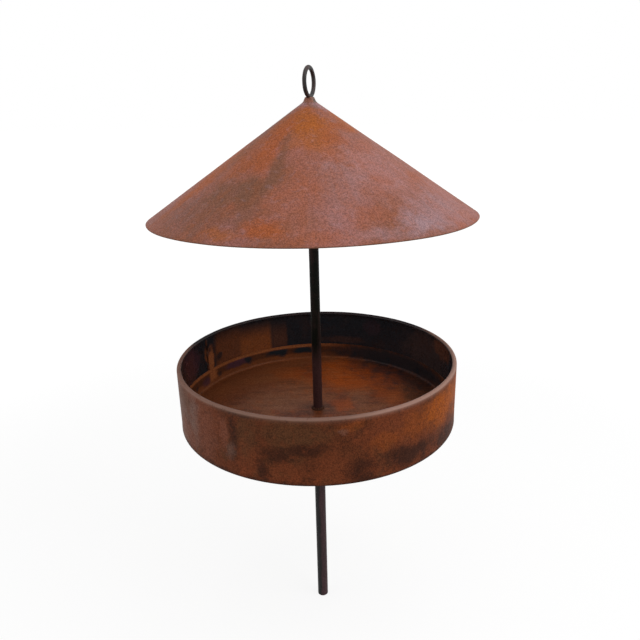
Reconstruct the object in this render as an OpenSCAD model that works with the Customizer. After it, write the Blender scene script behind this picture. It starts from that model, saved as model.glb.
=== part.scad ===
// Round bird feeder on a ground stake. It is a shallow sheet steel tray under a cone roof.
// One rod carries both and plugs into a pointed tube that stands in the ground.
// The origin is on the stake's axis at ground level, with Z up. Sizes are in millimetres.

/* [Roof] */
// Outside diameter of the roof at its rim
roof_d = 317; // [240:1:400]
// Height of the roof from its rim to the tip of its cone
roof_h = 107; // [70:1:150]
// Thickness of the roof's sheet
roof_sheet = 1.2; // [0.8:0.1:2]
// Width of the roof's lapped seam at the rim
roof_lap = 12; // [8:1:20]
// Direction of the roof's seam, anticlockwise from X seen from above
roof_seam_turn = 104; // [0:1:359]
// Number of tack welds along the roof's seam
roof_tacks = 5; // [2:1:8]
// Clear height from the tray's rim to the roof's rim
feeding_gap = 147; // [90:1:220]

/* [Hanging ring] */
// Outside diameter of the ring
ring_d = 29; // [22:1:50]
// Diameter of the ring's wire
ring_wire_d = 4; // [3:0.5:5]
// Depth of the ring's lowest point below the tip of the roof's cone
ring_sink = 1.3; // [0.5:0.1:2]

/* [Centre rod] */
// Diameter of the rod
rod_d = 10; // [9:0.5:14]
// Diameter of the rod's stub in the hole at the roof's tip
stub_d = 7; // [5:0.5:8]
// Length of rod below the tray, which plugs into the stake
spigot_length = 80; // [40:1:120]
// Length of the chamfer on the rod's lower end
spigot_chamfer = 1; // [0.5:0.1:2]

/* [Tray] */
// Outside diameter of the tray
tray_d = 290; // [220:1:380]
// Height of the tray from its underside to the top of its rim
tray_h = 65; // [50:1:100]
// Thickness of the tray's sheet
tray_sheet = 1; // [0.8:0.1:1.5]
// Diameter of the wire that the rim is rolled round
rim_wire_d = 2.4; // [2:0.1:4]
// Gap left between the end of the rolled sheet and the wall
rim_lip_gap = 0.6; // [0.4:0.1:1]
// Height of the floor pan's turned-up edge above the tray's underside
flange_h = 21; // [12:1:25]
// Inside radius of the bend between the pan's floor and its turned-up edge
pan_bend_r = 3; // [2:0.5:8]
// Width of the lapped seam in the tray's wall
wall_lap = 12; // [8:1:20]
// Width over which the wall's inner layer steps back to the wall
wall_joggle = 7; // [4:1:12]
// Width of the seam's groove on the outside of the wall
wall_groove = 0.6; // [0.4:0.1:1]
// Direction of the tray's seam, anticlockwise from X seen from above
wall_seam_turn = 173; // [0:1:359]
// Number of tack welds along the tray's seam
wall_tacks = 3; // [2:1:4]

/* [Welds] */
// Leg of the weld round the rod under the roof
roof_weld_leg = 6; // [3:0.5:10]
// Leg of the weld round the rod on the tray's floor
floor_weld_leg = 2; // [2:0.5:6]
// Distance from the axis to the foot of the weld at the roof's tip
tip_weld_r = 8; // [7:0.5:12]
// Height to which that weld grips the ring, above the ring's lowest point
tip_weld_grip = 1.5; // [1:0.1:2]
// Width of that weld's top outside the stub
tip_weld_ledge = 0.75; // [0.5:0.05:1]
// Hollow of the weld faces, at the middle of their slope
weld_hollow = 0.6; // [0.3:0.1:0.8]
// Length of each tack weld
tack_length = 9; // [6:1:12]
// Radius of each tack weld
tack_r = 1.6; // [1.2:0.1:2]

/* [Stake] */
// Wall of the stake's tube
tube_wall = 0.9; // [0.8:0.1:2]
// Height of the tray's underside above the ground
tray_lift = 250; // [150:1:600]
// Depth of the stake's tip below the ground
stake_depth = 200; // [120:1:400]
// Length of the stake's tapered point
point_length = 40; // [20:1:80]
// Diameter of the flat on the tip of the point
tip_flat_d = 2; // [1:0.5:4]
// Length of the point's plug inside the tube
plug_length = 25; // [10:1:50]
// Thickness of the washer between the tube and the tray
washer_h = 2.5; // [1.5:0.5:4]
// Width of the washer's ring, from its hole to its outside
washer_ring = 9.75; // [5:0.25:15]

/* [Fits] */
// Gap all round between the rod and the tube's bore
rod_clear = 0.1; // [0.04:0.01:0.1]
// Gap all round between the rod and the washer's hole
washer_clear = 0.25; // [0.1:0.05:0.5]
// Gap all round between the point's plug and the tube's bore
plug_clear = 0.02; // [0.01:0.01:0.05]
// Gap all round between the stub and the hole at the roof's tip
stub_clear = 0.1; // [0.05:0.05:0.2]
// Gap between the floor pan and the tray's wall
pan_clear = 0.05; // [0.02:0.01:0.1]
// Gap all round between the rim's wire and its roll
wire_clear = 0.05; // [0.02:0.01:0.1]

/* [Hidden] */
$fn = 128;
// Facets of the large circles that small welds lie on
seam_facets = 720;

// Radii
roof_r = roof_d / 2;
rod_r = rod_d / 2;
stub_r = stub_d / 2;
tip_hole_r = stub_r + stub_clear;
tray_r = tray_d / 2;
wall_in_r = tray_r - tray_sheet;
pan_out_r = wall_in_r - pan_clear;
bore_r = rod_r + rod_clear;
tube_r = bore_r + tube_wall;
washer_in_r = rod_r + washer_clear;
ring_wire_r = ring_wire_d / 2;
ring_mid_r = ring_d / 2 - ring_wire_r;
rim_wire_r = rim_wire_d / 2;
roll_in_r = rim_wire_r + wire_clear;
roll_out_r = roll_in_r + tray_sheet;

// Heights
floor_z = tray_lift;
floor_top_z = floor_z + tray_sheet;
tray_rim_z = floor_z + tray_h;
roll_z = tray_rim_z - roll_out_r;
roof_rim_z = tray_rim_z + feeding_gap;
tip_z = roof_rim_z + roof_h;
tube_top_z = floor_z - washer_h;
tube_end_z = point_length - stake_depth;

// Slope of the roof and what follows from it
roof_slope = roof_h / roof_r;
roof_angle = atan(roof_slope);
roof_skin = roof_sheet / cos(roof_angle);
ramp_angle = acos(1 - roof_skin / roof_h);
lap_angle = ramp_angle + roof_lap / roof_r * 180 / PI;
shoulder_z = roof_under(rod_r);
ring_bottom_z = tip_z - ring_sink;
ring_z = ring_bottom_z + ring_mid_r + ring_wire_r;

// Lap of the tray's wall
wall_lap_angle = wall_lap / wall_in_r * 180 / PI;
joggle_angle = wall_joggle / wall_in_r * 180 / PI;
lap_low_z = floor_z + flange_h + pan_clear;
lap_high_z = roll_z - roll_out_r;

// Height of the roof's outer and inner face at a distance from the axis
function roof_over(r) = tip_z - r * roof_slope;
function roof_under(r) = roof_over(r) - roof_skin;
// Point on the roof's rim edge, at a distance out from the sheet's outer face
function rim_point(out) = [roof_r + out * sin(roof_angle), roof_rim_z + out * cos(roof_angle)];
// Point at a radius and an angle
function polar(r, angle) = [r * cos(angle), r * sin(angle)];

// Disc that hollows the straight side from one point to another, on the right of that way
module hollow(from, to, depth) {
    side = to - from;
    chord = norm(side);
    disc_r = chord * chord / (8 * depth) + depth / 2;
    right = [side[1], -side[0]] / chord;
    translate((from + to) / 2 + right * (disc_r - depth))
    circle(r = disc_r);
}

// Layer of roof between two distances out from the sheet's outer face
module roof_layer(inner, outer, start_r) {
    rise = 1 / cos(roof_angle);
    rotate_extrude()
    polygon([
        [start_r, roof_over(start_r) + inner * rise],
        rim_point(inner),
        rim_point(outer),
        [start_r, roof_over(start_r) + outer * rise]
    ]);
}

// Outer layer of the roof's lap: it leaves the cone along a flat and ends in a straight edge
module roof_lap_layer() {
    reach = 2 * roof_d;
    intersection() {
        roof_layer(-roof_sheet / 2, roof_sheet, tip_weld_r + roof_sheet);
        rotate([0, 0, roof_seam_turn])
        linear_extrude(2 * tip_z)
        polygon([[0, 0], [reach, 0], polar(reach, lap_angle)]);
        translate([0, 0, tip_z])
        rotate([0, roof_angle, roof_seam_turn + lap_angle])
        translate([-reach, -reach, -reach])
        cube([2 * reach, 2 * reach, reach]);
    }
}

module roof_cone() {
    color("#8a4a35")
    union() {
        roof_layer(-roof_sheet, 0, tip_hole_r);
        roof_lap_layer();
    }
}

// Short bead with round ends, centred on its own X axis
module tack() {
    straight = tack_length - 2 * tack_r;
    translate([-straight / 2, 0, 0])
    rotate([0, 90, 0])
    cylinder(h = straight, r = tack_r);
    for (side = [-1, 1])
        translate([side * straight / 2, 0, 0])
        sphere(r = tack_r);
}

// Tacks along the straight edge of the roof's lap
module roof_seam_weld() {
    first = roof_r * 0.25;
    pitch = (roof_r * 0.9 - first) / (roof_tacks - 1);
    color("#6f3d2c")
    difference() {
        for (i = [0 : roof_tacks - 1])
            rotate([0, 0, roof_seam_turn])
            translate([first + i * pitch, 0, roof_over(first + i * pitch)])
            rotate([0, roof_angle, 0])
            tack();
        roof_layer(-2 * tack_r, 0, tip_hole_r, $fn = seam_facets);
        roof_lap_layer($fn = seam_facets);
    }
}

// Mound of weld that closes the roof's tip and holds the ring
module tip_weld() {
    foot = [tip_weld_r, roof_over(tip_weld_r)];
    top = [stub_r + tip_weld_ledge, ring_bottom_z + tip_weld_grip];
    color("#5d3a2c")
    difference() {
        rotate_extrude()
        difference() {
            polygon([
                [stub_r, roof_over(tip_hole_r)],
                [tip_hole_r, roof_over(tip_hole_r)],
                foot,
                top,
                [0, top[1]],
                [0, ring_bottom_z],
                [stub_r, ring_bottom_z]
            ]);
            hollow(foot, top, weld_hollow);
        }
        hanging_ring();
    }
}

module hanging_ring() {
    color("#3a2c28")
    translate([0, 0, ring_z])
    rotate([0, 90, 0])
    rotate_extrude()
    translate([ring_mid_r, 0])
    circle(r = ring_wire_r);
}

// Hollow-faced weld between the rod and the inside of the roof
module roof_rod_weld() {
    foot_r = rod_r + roof_weld_leg;
    foot = [foot_r, roof_under(foot_r)];
    top = [rod_r, roof_under(rod_r)];
    heel = [rod_r, foot[1] - roof_weld_leg / 2];
    color("#4f3329")
    rotate_extrude()
    difference() {
        polygon([heel, foot, top]);
        hollow(heel, foot, weld_hollow);
    }
}

module centre_rod() {
    end_z = floor_z - spigot_length;
    color("#2f2422")
    union() {
        translate([0, 0, end_z + spigot_chamfer])
        cylinder(h = shoulder_z - end_z - spigot_chamfer, r = rod_r);
        translate([0, 0, end_z])
        cylinder(h = spigot_chamfer, r1 = rod_r - spigot_chamfer, r2 = rod_r);
        translate([0, 0, shoulder_z])
        cylinder(h = ring_bottom_z - shoulder_z, r = stub_r);
    }
}

// Section of the wall: a straight strip whose top edge is rolled inwards round the wire
module wall_section() {
    roll_x = tray_r - roll_out_r;
    translate([wall_in_r, floor_z])
    square([tray_sheet, roll_z - floor_z]);
    translate([roll_x, roll_z])
    difference() {
        circle(r = roll_out_r);
        circle(r = roll_in_r);
        translate([roll_in_r - rim_lip_gap, -2 * roll_out_r])
        square([rim_lip_gap, 2 * roll_out_r]);
    }
}

// Plan of the wall's inner layer, clockwise from its free edge to where it steps back to the wall
module wall_lap_plan() {
    layer_r = wall_in_r - tray_sheet;
    bury_r = wall_in_r + tray_sheet / 2;
    step_turn = -wall_lap_angle - joggle_angle;
    intersection() {
        difference() {
            circle(r = bury_r, $fn = seam_facets);
            circle(r = layer_r, $fn = seam_facets);
        }
        polygon([[0, 0], [tray_d, 0], polar(tray_d, -wall_lap_angle)]);
    }
    polygon([
        polar(layer_r, -wall_lap_angle),
        polar(bury_r, -wall_lap_angle),
        polar(bury_r, step_turn),
        polar(wall_in_r, step_turn)
    ]);
}

module tray_wall() {
    color("#7a4630")
    difference() {
        union() {
            rotate_extrude()
            wall_section();
            translate([0, 0, lap_low_z])
            rotate([0, 0, wall_seam_turn])
            linear_extrude(lap_high_z - lap_low_z)
            wall_lap_plan();
        }
        rotate([0, 0, wall_seam_turn - wall_lap_angle])
        translate([tray_r - tray_sheet / 2, 0, floor_z - 1])
        cube([tray_sheet, wall_groove, roll_z - floor_z - roll_out_r]);
    }
}

module rim_wire() {
    color("#5d4a42")
    translate([0, 0, roll_z])
    rotate_extrude()
    translate([tray_r - roll_out_r, 0])
    circle(r = rim_wire_r);
}

// Tacks up the free edge of the wall's inner layer
module wall_seam_weld() {
    lap_h = lap_high_z - lap_low_z;
    pitch = (lap_h - tack_length) / (wall_tacks - 1);
    color("#6f3d2c")
    rotate([0, 0, wall_seam_turn])
    difference() {
        intersection() {
            for (i = [0 : wall_tacks - 1])
                translate([wall_in_r, 0, lap_low_z + tack_length / 2 + i * pitch])
                rotate([0, 90, 0])
                tack();
            translate([0, 0, floor_z])
            cylinder(h = tray_h, r = wall_in_r, $fn = seam_facets);
        }
        translate([0, 0, floor_z])
        linear_extrude(tray_h)
        wall_lap_plan();
    }
}

// Section of the floor pan: a flat disc, a bend and a turned-up edge
module pan_section() {
    bend_out_r = pan_bend_r + tray_sheet;
    bend_x = pan_out_r - bend_out_r;
    translate([rod_r, floor_z])
    square([bend_x - rod_r, tray_sheet]);
    translate([bend_x, floor_z + bend_out_r])
    intersection() {
        difference() {
            circle(r = bend_out_r);
            circle(r = pan_bend_r);
        }
        translate([0, -bend_out_r])
        square(bend_out_r);
    }
    translate([pan_out_r - tray_sheet, floor_z + bend_out_r])
    square([tray_sheet, flange_h - bend_out_r]);
}

module tray_floor() {
    color("#9a5328")
    rotate_extrude()
    pan_section();
}

// Round-faced weld where the rod stands on the floor
module floor_rod_weld() {
    color("#6d6058")
    rotate_extrude()
    translate([rod_r, floor_top_z])
    intersection() {
        square(floor_weld_leg);
        circle(r = floor_weld_leg);
    }
}

module support_washer() {
    color("#4a423e")
    translate([0, 0, tube_top_z])
    difference() {
        cylinder(h = washer_h, r = washer_in_r + washer_ring);
        translate([0, 0, -1])
        cylinder(h = washer_h + 2, r = washer_in_r);
    }
}

module stake_tube() {
    length = tube_top_z - tube_end_z;
    color("#41322f")
    translate([0, 0, tube_end_z])
    difference() {
        cylinder(h = length, r = tube_r);
        translate([0, 0, -1])
        cylinder(h = length + 2, r = bore_r);
    }
}

// Solid point with a plug that fills the tube's lower end
module stake_point() {
    color("#41322f")
    union() {
        translate([0, 0, -stake_depth])
        cylinder(h = point_length, r1 = tip_flat_d / 2, r2 = tube_r);
        translate([0, 0, tube_end_z])
        cylinder(h = plug_length, r = bore_r - plug_clear);
    }
}

roof_cone();
roof_seam_weld();
tip_weld();
hanging_ring();
roof_rod_weld();
centre_rod();
tray_wall();
rim_wire();
wall_seam_weld();
tray_floor();
floor_rod_weld();
support_washer();
stake_tube();
stake_point();
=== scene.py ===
"""Looks of a round bird feeder on a ground stake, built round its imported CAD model.

A shallow rusted tray hangs under a cone roof. One bar carries both, and plugs into a pointed tube that
stands in the ground. Lengths are in metres. The origin is on the stake's axis at ground level, Z is up,
and directions round the axis run anticlockwise from X seen from above.
"""

import math

import bpy
import numpy as np
from mathutils import Matrix, Vector


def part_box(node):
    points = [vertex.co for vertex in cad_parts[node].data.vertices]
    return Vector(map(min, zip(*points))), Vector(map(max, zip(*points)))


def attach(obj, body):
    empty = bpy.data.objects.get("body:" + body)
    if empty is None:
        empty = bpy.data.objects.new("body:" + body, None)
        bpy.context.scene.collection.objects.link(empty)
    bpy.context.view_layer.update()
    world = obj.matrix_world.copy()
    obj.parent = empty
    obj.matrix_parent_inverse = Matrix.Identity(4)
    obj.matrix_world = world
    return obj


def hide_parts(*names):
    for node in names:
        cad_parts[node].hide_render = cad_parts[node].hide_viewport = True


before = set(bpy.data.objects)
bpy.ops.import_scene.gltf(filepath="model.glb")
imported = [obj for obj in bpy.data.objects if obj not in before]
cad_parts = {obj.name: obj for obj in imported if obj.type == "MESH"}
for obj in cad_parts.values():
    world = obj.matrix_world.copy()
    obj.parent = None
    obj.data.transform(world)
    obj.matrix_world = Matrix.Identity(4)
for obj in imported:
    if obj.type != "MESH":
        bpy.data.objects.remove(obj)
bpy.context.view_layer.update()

bl_info = {
    "name": "Rusted bird feeder",
    "version": (1, 0, 0),
    "blender": (4, 5, 0),
    "location": "3D View > Sidebar > Feeder",
    "description": "Builds the rusted sheet steel of a round bird feeder round its CAD model",
    "category": "Object",
}

MM = 0.001
FRONT = -70.0  # direction from the axis to the photograph's viewpoint, in degrees
BACK = 110.0  # direction that the photograph looks in, in degrees
HAIR = math.radians(0.03)  # width of a sharp step in a surface, as an angle round the axis
UPWARD = np.array([0.0, 0.0, 1.0])
TACK_LENGTH = 9 * MM
SPOT_WELDS = 19  # how many hold the floor pan to the wall
FIRST_SPOT_WELD = 146.5  # its direction, in degrees
GROUND_WELD = -0.7  # direction of the flat where the tube's weld was ground off, in radians
GROUND_SIDE = 60.0  # of the stage's floor, in metres
LAMPS = (  # name, direction and elevation in degrees, distance and side in metres, power in watts
    ("key_lamp", 62, 40, 1.5, 1.1, 9.0),
    ("top_lamp", 10, 82, 1.6, 1.4, 7.0),
    ("left_lamp", -75, 25, 1.6, 1.0, 2.5),
)


def low(node, axis):
    """Lowest coordinate of a CAD node along an axis."""
    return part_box(node)[0][axis]


def high(node, axis):
    """Highest coordinate of a CAD node along an axis."""
    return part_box(node)[1][axis]


def length(name, description, default):
    """Property for a length, shown to a hundredth of a millimetre."""
    return bpy.props.FloatProperty(
        name=name, description=description, default=default, min=0.0, soft_max=1.0, precision=5, unit="LENGTH"
    )


def turn(name, description, degrees):
    """Property for an angle or a direction round the axis."""
    return bpy.props.FloatProperty(
        name=name, description=description, default=math.radians(degrees), subtype="ANGLE"
    )


def tint(name, description, *colour):
    """Property for a finish's colour: red, green and blue in linear light."""
    return bpy.props.FloatVectorProperty(
        name=name, description=description, default=colour, size=3, min=0.0, max=1.0, subtype="COLOR"
    )


class FeederSizes(bpy.types.PropertyGroup):
    """Sizes of the feeder. Those that a CAD node's box gives are read from it."""

    roof_radius: length("Roof radius", "Radius of the roof at its rim", high("roof_cone", 0))
    roof_tip: length("Roof tip", "Height of the cone's tip", low("hanging_ring", 2) + 1.3 * MM)
    roof_rise: length("Roof rise", "Height of the cone from its rim to its tip", 107 * MM)
    roof_sheet: length("Roof sheet", "Thickness of the roof's sheet", 1.2 * MM)
    roof_hole: length("Roof hole", "Radius of the hole at the tip", 3.6 * MM)
    roof_seam: turn("Roof seam", "Direction of the free edge of the roof's lap", 104)
    roof_lap: turn("Roof lap", "Angle from the lap's free edge to its root", 13.77)
    ring_radius: length("Ring radius", "Radius of the hanging ring to its wire's middle", 12.5 * MM)
    ring_wire: length("Ring wire", "Radius of the hanging ring's wire", high("hanging_ring", 0))
    ring_bottom: length("Ring bottom", "Height of the ring's lowest point", low("hanging_ring", 2))
    tip_weld: length("Tip weld", "Radius of the weld at the roof's tip", high("tip_weld", 0))
    bar_radius: length("Bar radius", "Radius of the centre bar", high("centre_rod", 0))
    bar_end: length("Bar end", "Height of the bar's lower end", low("centre_rod", 2))
    stub_radius: length("Stub radius", "Radius of the bar's stub in the roof's hole", 3.5 * MM)
    tray_radius: length("Tray radius", "Outside radius of the tray", high("tray_wall", 0))
    tray_low: length("Tray underside", "Height of the tray's underside", low("tray_wall", 2))
    tray_high: length("Tray rim", "Height of the top of the tray's rim", high("tray_wall", 2))
    tray_sheet: length("Tray sheet", "Thickness of the tray's sheet", 1.0 * MM)
    bead_radius: length("Rim bead", "Outside radius of the bead that the rim is rolled into", 2.25 * MM)
    tray_seam: turn("Tray seam", "Direction of the free edge of the inner layer of the tray's lap", 173)
    tray_lap: turn("Tray lap", "Angle over which the tray's wall is double", 4.8)
    tray_joggle: turn("Tray joggle", "Angle over which the inner layer steps back to the wall", 2.8)
    pan_radius: length("Pan radius", "Outside radius of the floor pan", high("tray_floor", 0))
    pan_high: length("Pan edge", "Height of the pan's turned-up edge", high("tray_floor", 2))
    pan_bend: length("Pan bend", "Inside radius of the pan's bend", 3 * MM)
    washer_radius: length("Washer radius", "Outside radius of the loose washer", high("support_washer", 0))
    washer_hole: length("Washer hole", "Radius of the washer's hole", 5.25 * MM)
    tube_radius: length("Tube radius", "Outside radius of the stake's tube", high("stake_tube", 0))
    tube_bore: length("Tube bore", "Radius of the tube's bore", 5.1 * MM)
    tube_high: length("Tube top", "Height of the tube's top", high("stake_tube", 2))
    point_depth: length("Point depth", "Depth of the stake's tip below the ground", -low("stake_point", 2))
    point_length: length("Point length", "Length of the stake's tapered point", 40 * MM)


class FeederColours(bpy.types.PropertyGroup):
    """Colours of the feeder's finishes."""

    brown: tint("Rust brown", "Roof's dry rust", 0.224, 0.077, 0.043)
    # Mauve, pink and lilac are partly rust colour and partly a painted sheen, the pale veil that light leaves
    # on the roof, strongest on its right.
    mauve: tint("Rust mauve", "Roof's pale purplish rust", 0.270, 0.106, 0.089)
    pink: tint("Rust pink", "Roof's pale pinkish rust", 0.338, 0.155, 0.141)
    lilac: tint("Rust lilac", "Roof's greyish bloom", 0.325, 0.210, 0.234)
    orange: tint("Rust orange", "Roof's fresh rust", 0.304, 0.073, 0.017)
    ochre: tint("Rust ochre", "Yellowest rust, under the roof's tip", 0.320, 0.082, 0.007)
    scale: tint("Mill scale", "Dark skin that the rust has not covered", 0.138, 0.060, 0.032)
    # The underside colour is painted shade: the roof's underside is darkened for the shade it lies in.
    shade: tint("Underside", "Rust on the roof's underside", 0.090, 0.040, 0.026)
    # The rim colour is partly the worn bead and partly a painted highlight on its front.
    rim: tint("Rim", "Bare worn bead of the tray's rim", 0.260, 0.150, 0.115)
    hoop: tint("Hoop brown", "Rust on the outside of the tray", 0.097, 0.026, 0.009)
    hoop_olive: tint("Hoop olive", "Yellowish rust on the outside of the tray", 0.095, 0.036, 0.014)
    hoop_red: tint("Hoop red", "Reddish rust on the outside of the tray", 0.150, 0.036, 0.012)
    hoop_pink: tint("Hoop pink", "Pinkish rust on the left of the tray", 0.175, 0.056, 0.030)
    hoop_dark: tint("Hoop dark", "Dark scale on the outside of the tray", 0.038, 0.011, 0.005)
    hoop_orange: tint("Hoop orange", "Fresh rust on the outside of the tray", 0.335, 0.073, 0.003)
    # Hoop grey is partly a greyish bloom and partly a painted sheen, at the left end of the tray's outside
    # and on the inside of the wall to the right.
    hoop_grey: tint("Hoop grey", "Greyish bloom on the outside of the tray", 0.168, 0.090, 0.068)
    # Lining black is dark glossy scale, and also painted shade on the back of the rim and on the right of the
    # floor pan's edge.
    wet_black: tint("Lining black", "Dark glossy scale inside the tray", 0.014, 0.019, 0.025)
    # Lining brown is partly rust and partly painted reflection: the brown panels on the inner wall stand for
    # the blurred reflections that its glossy scale shows.
    wet_brown: tint("Lining brown", "Rust that shows inside the tray's wall", 0.270, 0.080, 0.023)
    # Lap orange is fresh rust along the lap, and also a painted highlight along the floor pan's lip.
    lap_orange: tint("Lap orange", "Fresh rust along the lap, inside the tray", 0.420, 0.135, 0.045)
    floor: tint("Floor brown", "Rust on the tray's floor", 0.240, 0.074, 0.024)
    floor_orange: tint("Floor orange", "Fresh rust on the tray's floor", 0.395, 0.073, 0.005)
    # Floor dark is dark scale, and also a painted shadow of the wall along the right of the floor.
    floor_dark: tint("Floor dark", "Dark scale on the tray's floor", 0.070, 0.024, 0.011)
    floor_pale: tint("Floor pale", "Pale dusty rust on the tray's floor", 0.300, 0.118, 0.058)
    violet: tint("Violet", "Purplish heat colour beside the lap, inside the tray", 0.085, 0.032, 0.048)
    # Painted highlight on the right of the rim, towards the key lamp.
    rim_pale_highlight: tint("Rim pale", "Rim where it is rubbed bright", 0.420, 0.250, 0.200)
    bar: tint("Bar", "Black scale on the bar", 0.0055, 0.006, 0.0038)
    bar_rust: tint("Bar rust", "Thin rust on the bar", 0.083, 0.036, 0.034)
    ring: tint("Ring", "Dark grey scale on the hanging ring", 0.014, 0.013, 0.012)
    ring_rust: tint("Ring rust", "Thin rust on the hanging ring", 0.050, 0.016, 0.014)
    tube: tint("Tube", "Dark grey scale on the stake's tube", 0.0195, 0.020, 0.020)
    tube_rust: tint("Tube rust", "Purplish rust on the stake's tube", 0.070, 0.036, 0.040)
    weld: tint("Weld", "Grey scale on a weld", 0.110, 0.070, 0.052)


# Shapes


def waves(points, reach, seed, count=14):
    """Rough surface, about -1 to 1: the mean of plane sine waves through space, each with a random way,
    phase and length near reach."""
    draw = np.random.default_rng(seed)
    way = draw.normal(size=(count, 3))
    way /= np.linalg.norm(way, axis=1)[:, None]
    pace = 2 * np.pi / (reach * draw.uniform(0.7, 1.6, count))
    phase = draw.uniform(0, 2 * np.pi, count)
    return np.sin(points @ (way * pace[:, None]).T + phase).sum(-1) / math.sqrt(3 * count)


def ease(value, start, end):
    """Smooth step: 0 at start, 1 at end, with a level start and finish."""
    share = np.clip((value - start) / (end - start), 0, 1)
    return share * share * (3 - 2 * share)


def uneven(points, *layers):
    """Sum of rough surfaces in metres. A layer is its depth and its reach in millimetres, and a seed."""
    return sum(depth * MM * waves(points, reach * MM, seed) for depth, reach, seed in layers)


def line(start, end, steps):
    """Points at equal steps along a straight line, both ends included."""
    share = np.linspace(0, 1, steps)[:, None]
    return np.asarray(start) * (1 - share) + np.asarray(end) * share


def arc(centre, radius, start, end, steps):
    """Points at equal steps along an arc, both ends included, with its angles in degrees."""
    angle = np.radians(np.linspace(start, end, steps))
    return np.asarray(centre) + radius * np.stack([np.cos(angle), np.sin(angle)], -1)


def joined(*parts):
    """Section made of several runs of points. Gives also the row that each run starts at, and the row past
    the end."""
    return np.concatenate(parts), np.cumsum([0] + [len(part) for part in parts])


def evenly(columns):
    """Equal steps all the way round, in radians."""
    return np.linspace(0, 2 * np.pi, columns, endpoint=False)


def between(first, second):
    """Angle from the second direction to the first, from minus to plus half a turn."""
    return (first - second + np.pi) % (2 * np.pi) - np.pi


def turns_with(columns, *special):
    """Equal steps all the way round, with these directions in place of the nearest ones."""
    even = evenly(columns)
    gap = np.abs(between(even[:, None], np.array(special))).min(1)
    return np.sort(np.concatenate([even[gap > 0.4 * np.pi / columns], special]))


def facing(turned):
    """Level vector one metre long that points in a direction."""
    return np.array([math.cos(turned), math.sin(turned), 0])


def round_axis(angles, radius, height):
    """Points round the axis, from their directions, their distances from it and their heights."""
    parts = np.cos(angles)[:, None] * radius, np.sin(angles)[:, None] * radius, height
    return np.stack(np.broadcast_arrays(*parts), -1)


def lathe(profile, angles):
    """Profile carried round the axis: at each angle a point has the profile's radius and height there."""
    return round_axis(angles, *np.asarray(profile).T)


def spin_out(grid, amount):
    """Moves each point of a grid straight away from the axis by an amount."""
    flat = grid[..., :2]
    reach = np.linalg.norm(flat, axis=-1, keepdims=True)
    moved = grid.copy()
    moved[..., :2] += flat / np.maximum(reach, 1e-9) * amount[..., None]
    return moved


def volume(points, corners, starts, sizes):
    """Volume that the faces close in, six times over: positive when they point outwards."""
    first = points[corners[starts]]
    total = 0.0
    for step in range(1, 3):
        has = sizes > step + 1
        second = points[corners[starts[has] + step]]
        third = points[corners[starts[has] + step + 1]]
        total += np.einsum("ij,ij->i", first[has], np.cross(second, third)).sum()
    return total


def net(grid, poles):
    """Faces over a grid of points, shape (columns, rows, 3). The columns close on themselves. The rows
    close too, or end in one point each where poles is true. Gives the points, the faces' corners and sizes,
    and which points of the grid were kept."""
    columns, rows = grid.shape[:2]
    number = np.arange(columns * rows).reshape(columns, rows)
    onward = np.roll(number, -1, 0)
    if poles:
        quads = np.stack([number[:, 1:-2], onward[:, 1:-2], onward[:, 2:-1], number[:, 2:-1]], -1)
        first = np.stack([np.full(columns, number[0, 0]), onward[:, 1], number[:, 1]], -1)
        last = np.stack([np.full(columns, number[0, -1]), number[:, -2], onward[:, -2]], -1)
        faces = [quads.reshape(-1, 4), first, last]
    else:
        quads = np.stack([number, onward, np.roll(onward, -1, 1), np.roll(number, -1, 1)], -1)
        faces = [quads.reshape(-1, 4)]
    corners = np.concatenate([group.ravel() for group in faces])
    sizes = np.concatenate([np.full(len(group), group.shape[1]) for group in faces])
    used, corners = np.unique(corners, return_inverse=True)
    return grid.reshape(-1, 3)[used], corners, sizes, used


def skin(name, grids, poles, marks, bend):
    """Closed mesh over one grid or several. marks are values for each point, by attribute name, and
    edges that bend more than the angle are shaded sharp."""
    points, corners, sizes, kept = [], [], [], []
    offset = 0
    for grid in grids:
        own, ends, counts, used = net(grid, poles)
        starts = np.cumsum(counts) - counts
        if volume(own, ends, starts, counts) < 0:
            turned = [starts[counts == sides][:, None] + np.arange(sides)[::-1] for sides in (4, 3)]
            ends = ends[np.concatenate(turned, None)]
            counts = -np.sort(-counts)
        points.append(own)
        corners.append(ends + offset)
        sizes.append(counts)
        kept.append(used)
        offset += len(own)
    points, corners, sizes = (np.concatenate(part) for part in (points, corners, sizes))
    mesh = bpy.data.meshes.new(name)
    mesh.vertices.add(len(points))
    mesh.vertices.foreach_set("co", points.astype(np.float32).ravel())
    mesh.loops.add(len(corners))
    mesh.loops.foreach_set("vertex_index", corners.astype(np.int32))
    mesh.polygons.add(len(sizes))
    mesh.polygons.foreach_set("loop_start", (np.cumsum(sizes) - sizes).astype(np.int32))
    mesh.update(calc_edges=True)
    if mesh.validate():
        raise RuntimeError(f"{name}: the mesh had faulty faces")
    for mark, value in marks.items():
        full = [np.broadcast_to(value, grid.shape[:2]).reshape(-1)[used] for grid, used in zip(grids, kept)]
        attribute = mesh.attributes.new(mark, "FLOAT", "POINT")
        attribute.data.foreach_set("value", np.concatenate(full).astype(np.float32))
    mesh.shade_smooth()
    mesh.set_sharp_from_angle(angle=math.radians(bend))
    return mesh


def add_object(name, data):
    """Puts a mesh, a lamp or a camera in the scene."""
    made = bpy.data.objects.new(name, data)
    bpy.context.scene.collection.objects.link(made)
    return made


def piece(name, grids, body, nodes, slot, material, poles=False, bend=40, **marks):
    """Puts one finished piece in the scene: it rides on a body, stands for CAD nodes and has a finish."""
    grids = grids if isinstance(grids, list) else [grids]
    made = add_object(name, skin(name, grids, poles, marks, bend))
    made.data.materials.append(bpy.data.materials[material])
    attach(made, body)
    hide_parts(*nodes)


def cone_slope(size):
    """Angle of the roof's cone below the level."""
    return math.atan(size.roof_rise / size.roof_radius)


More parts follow.
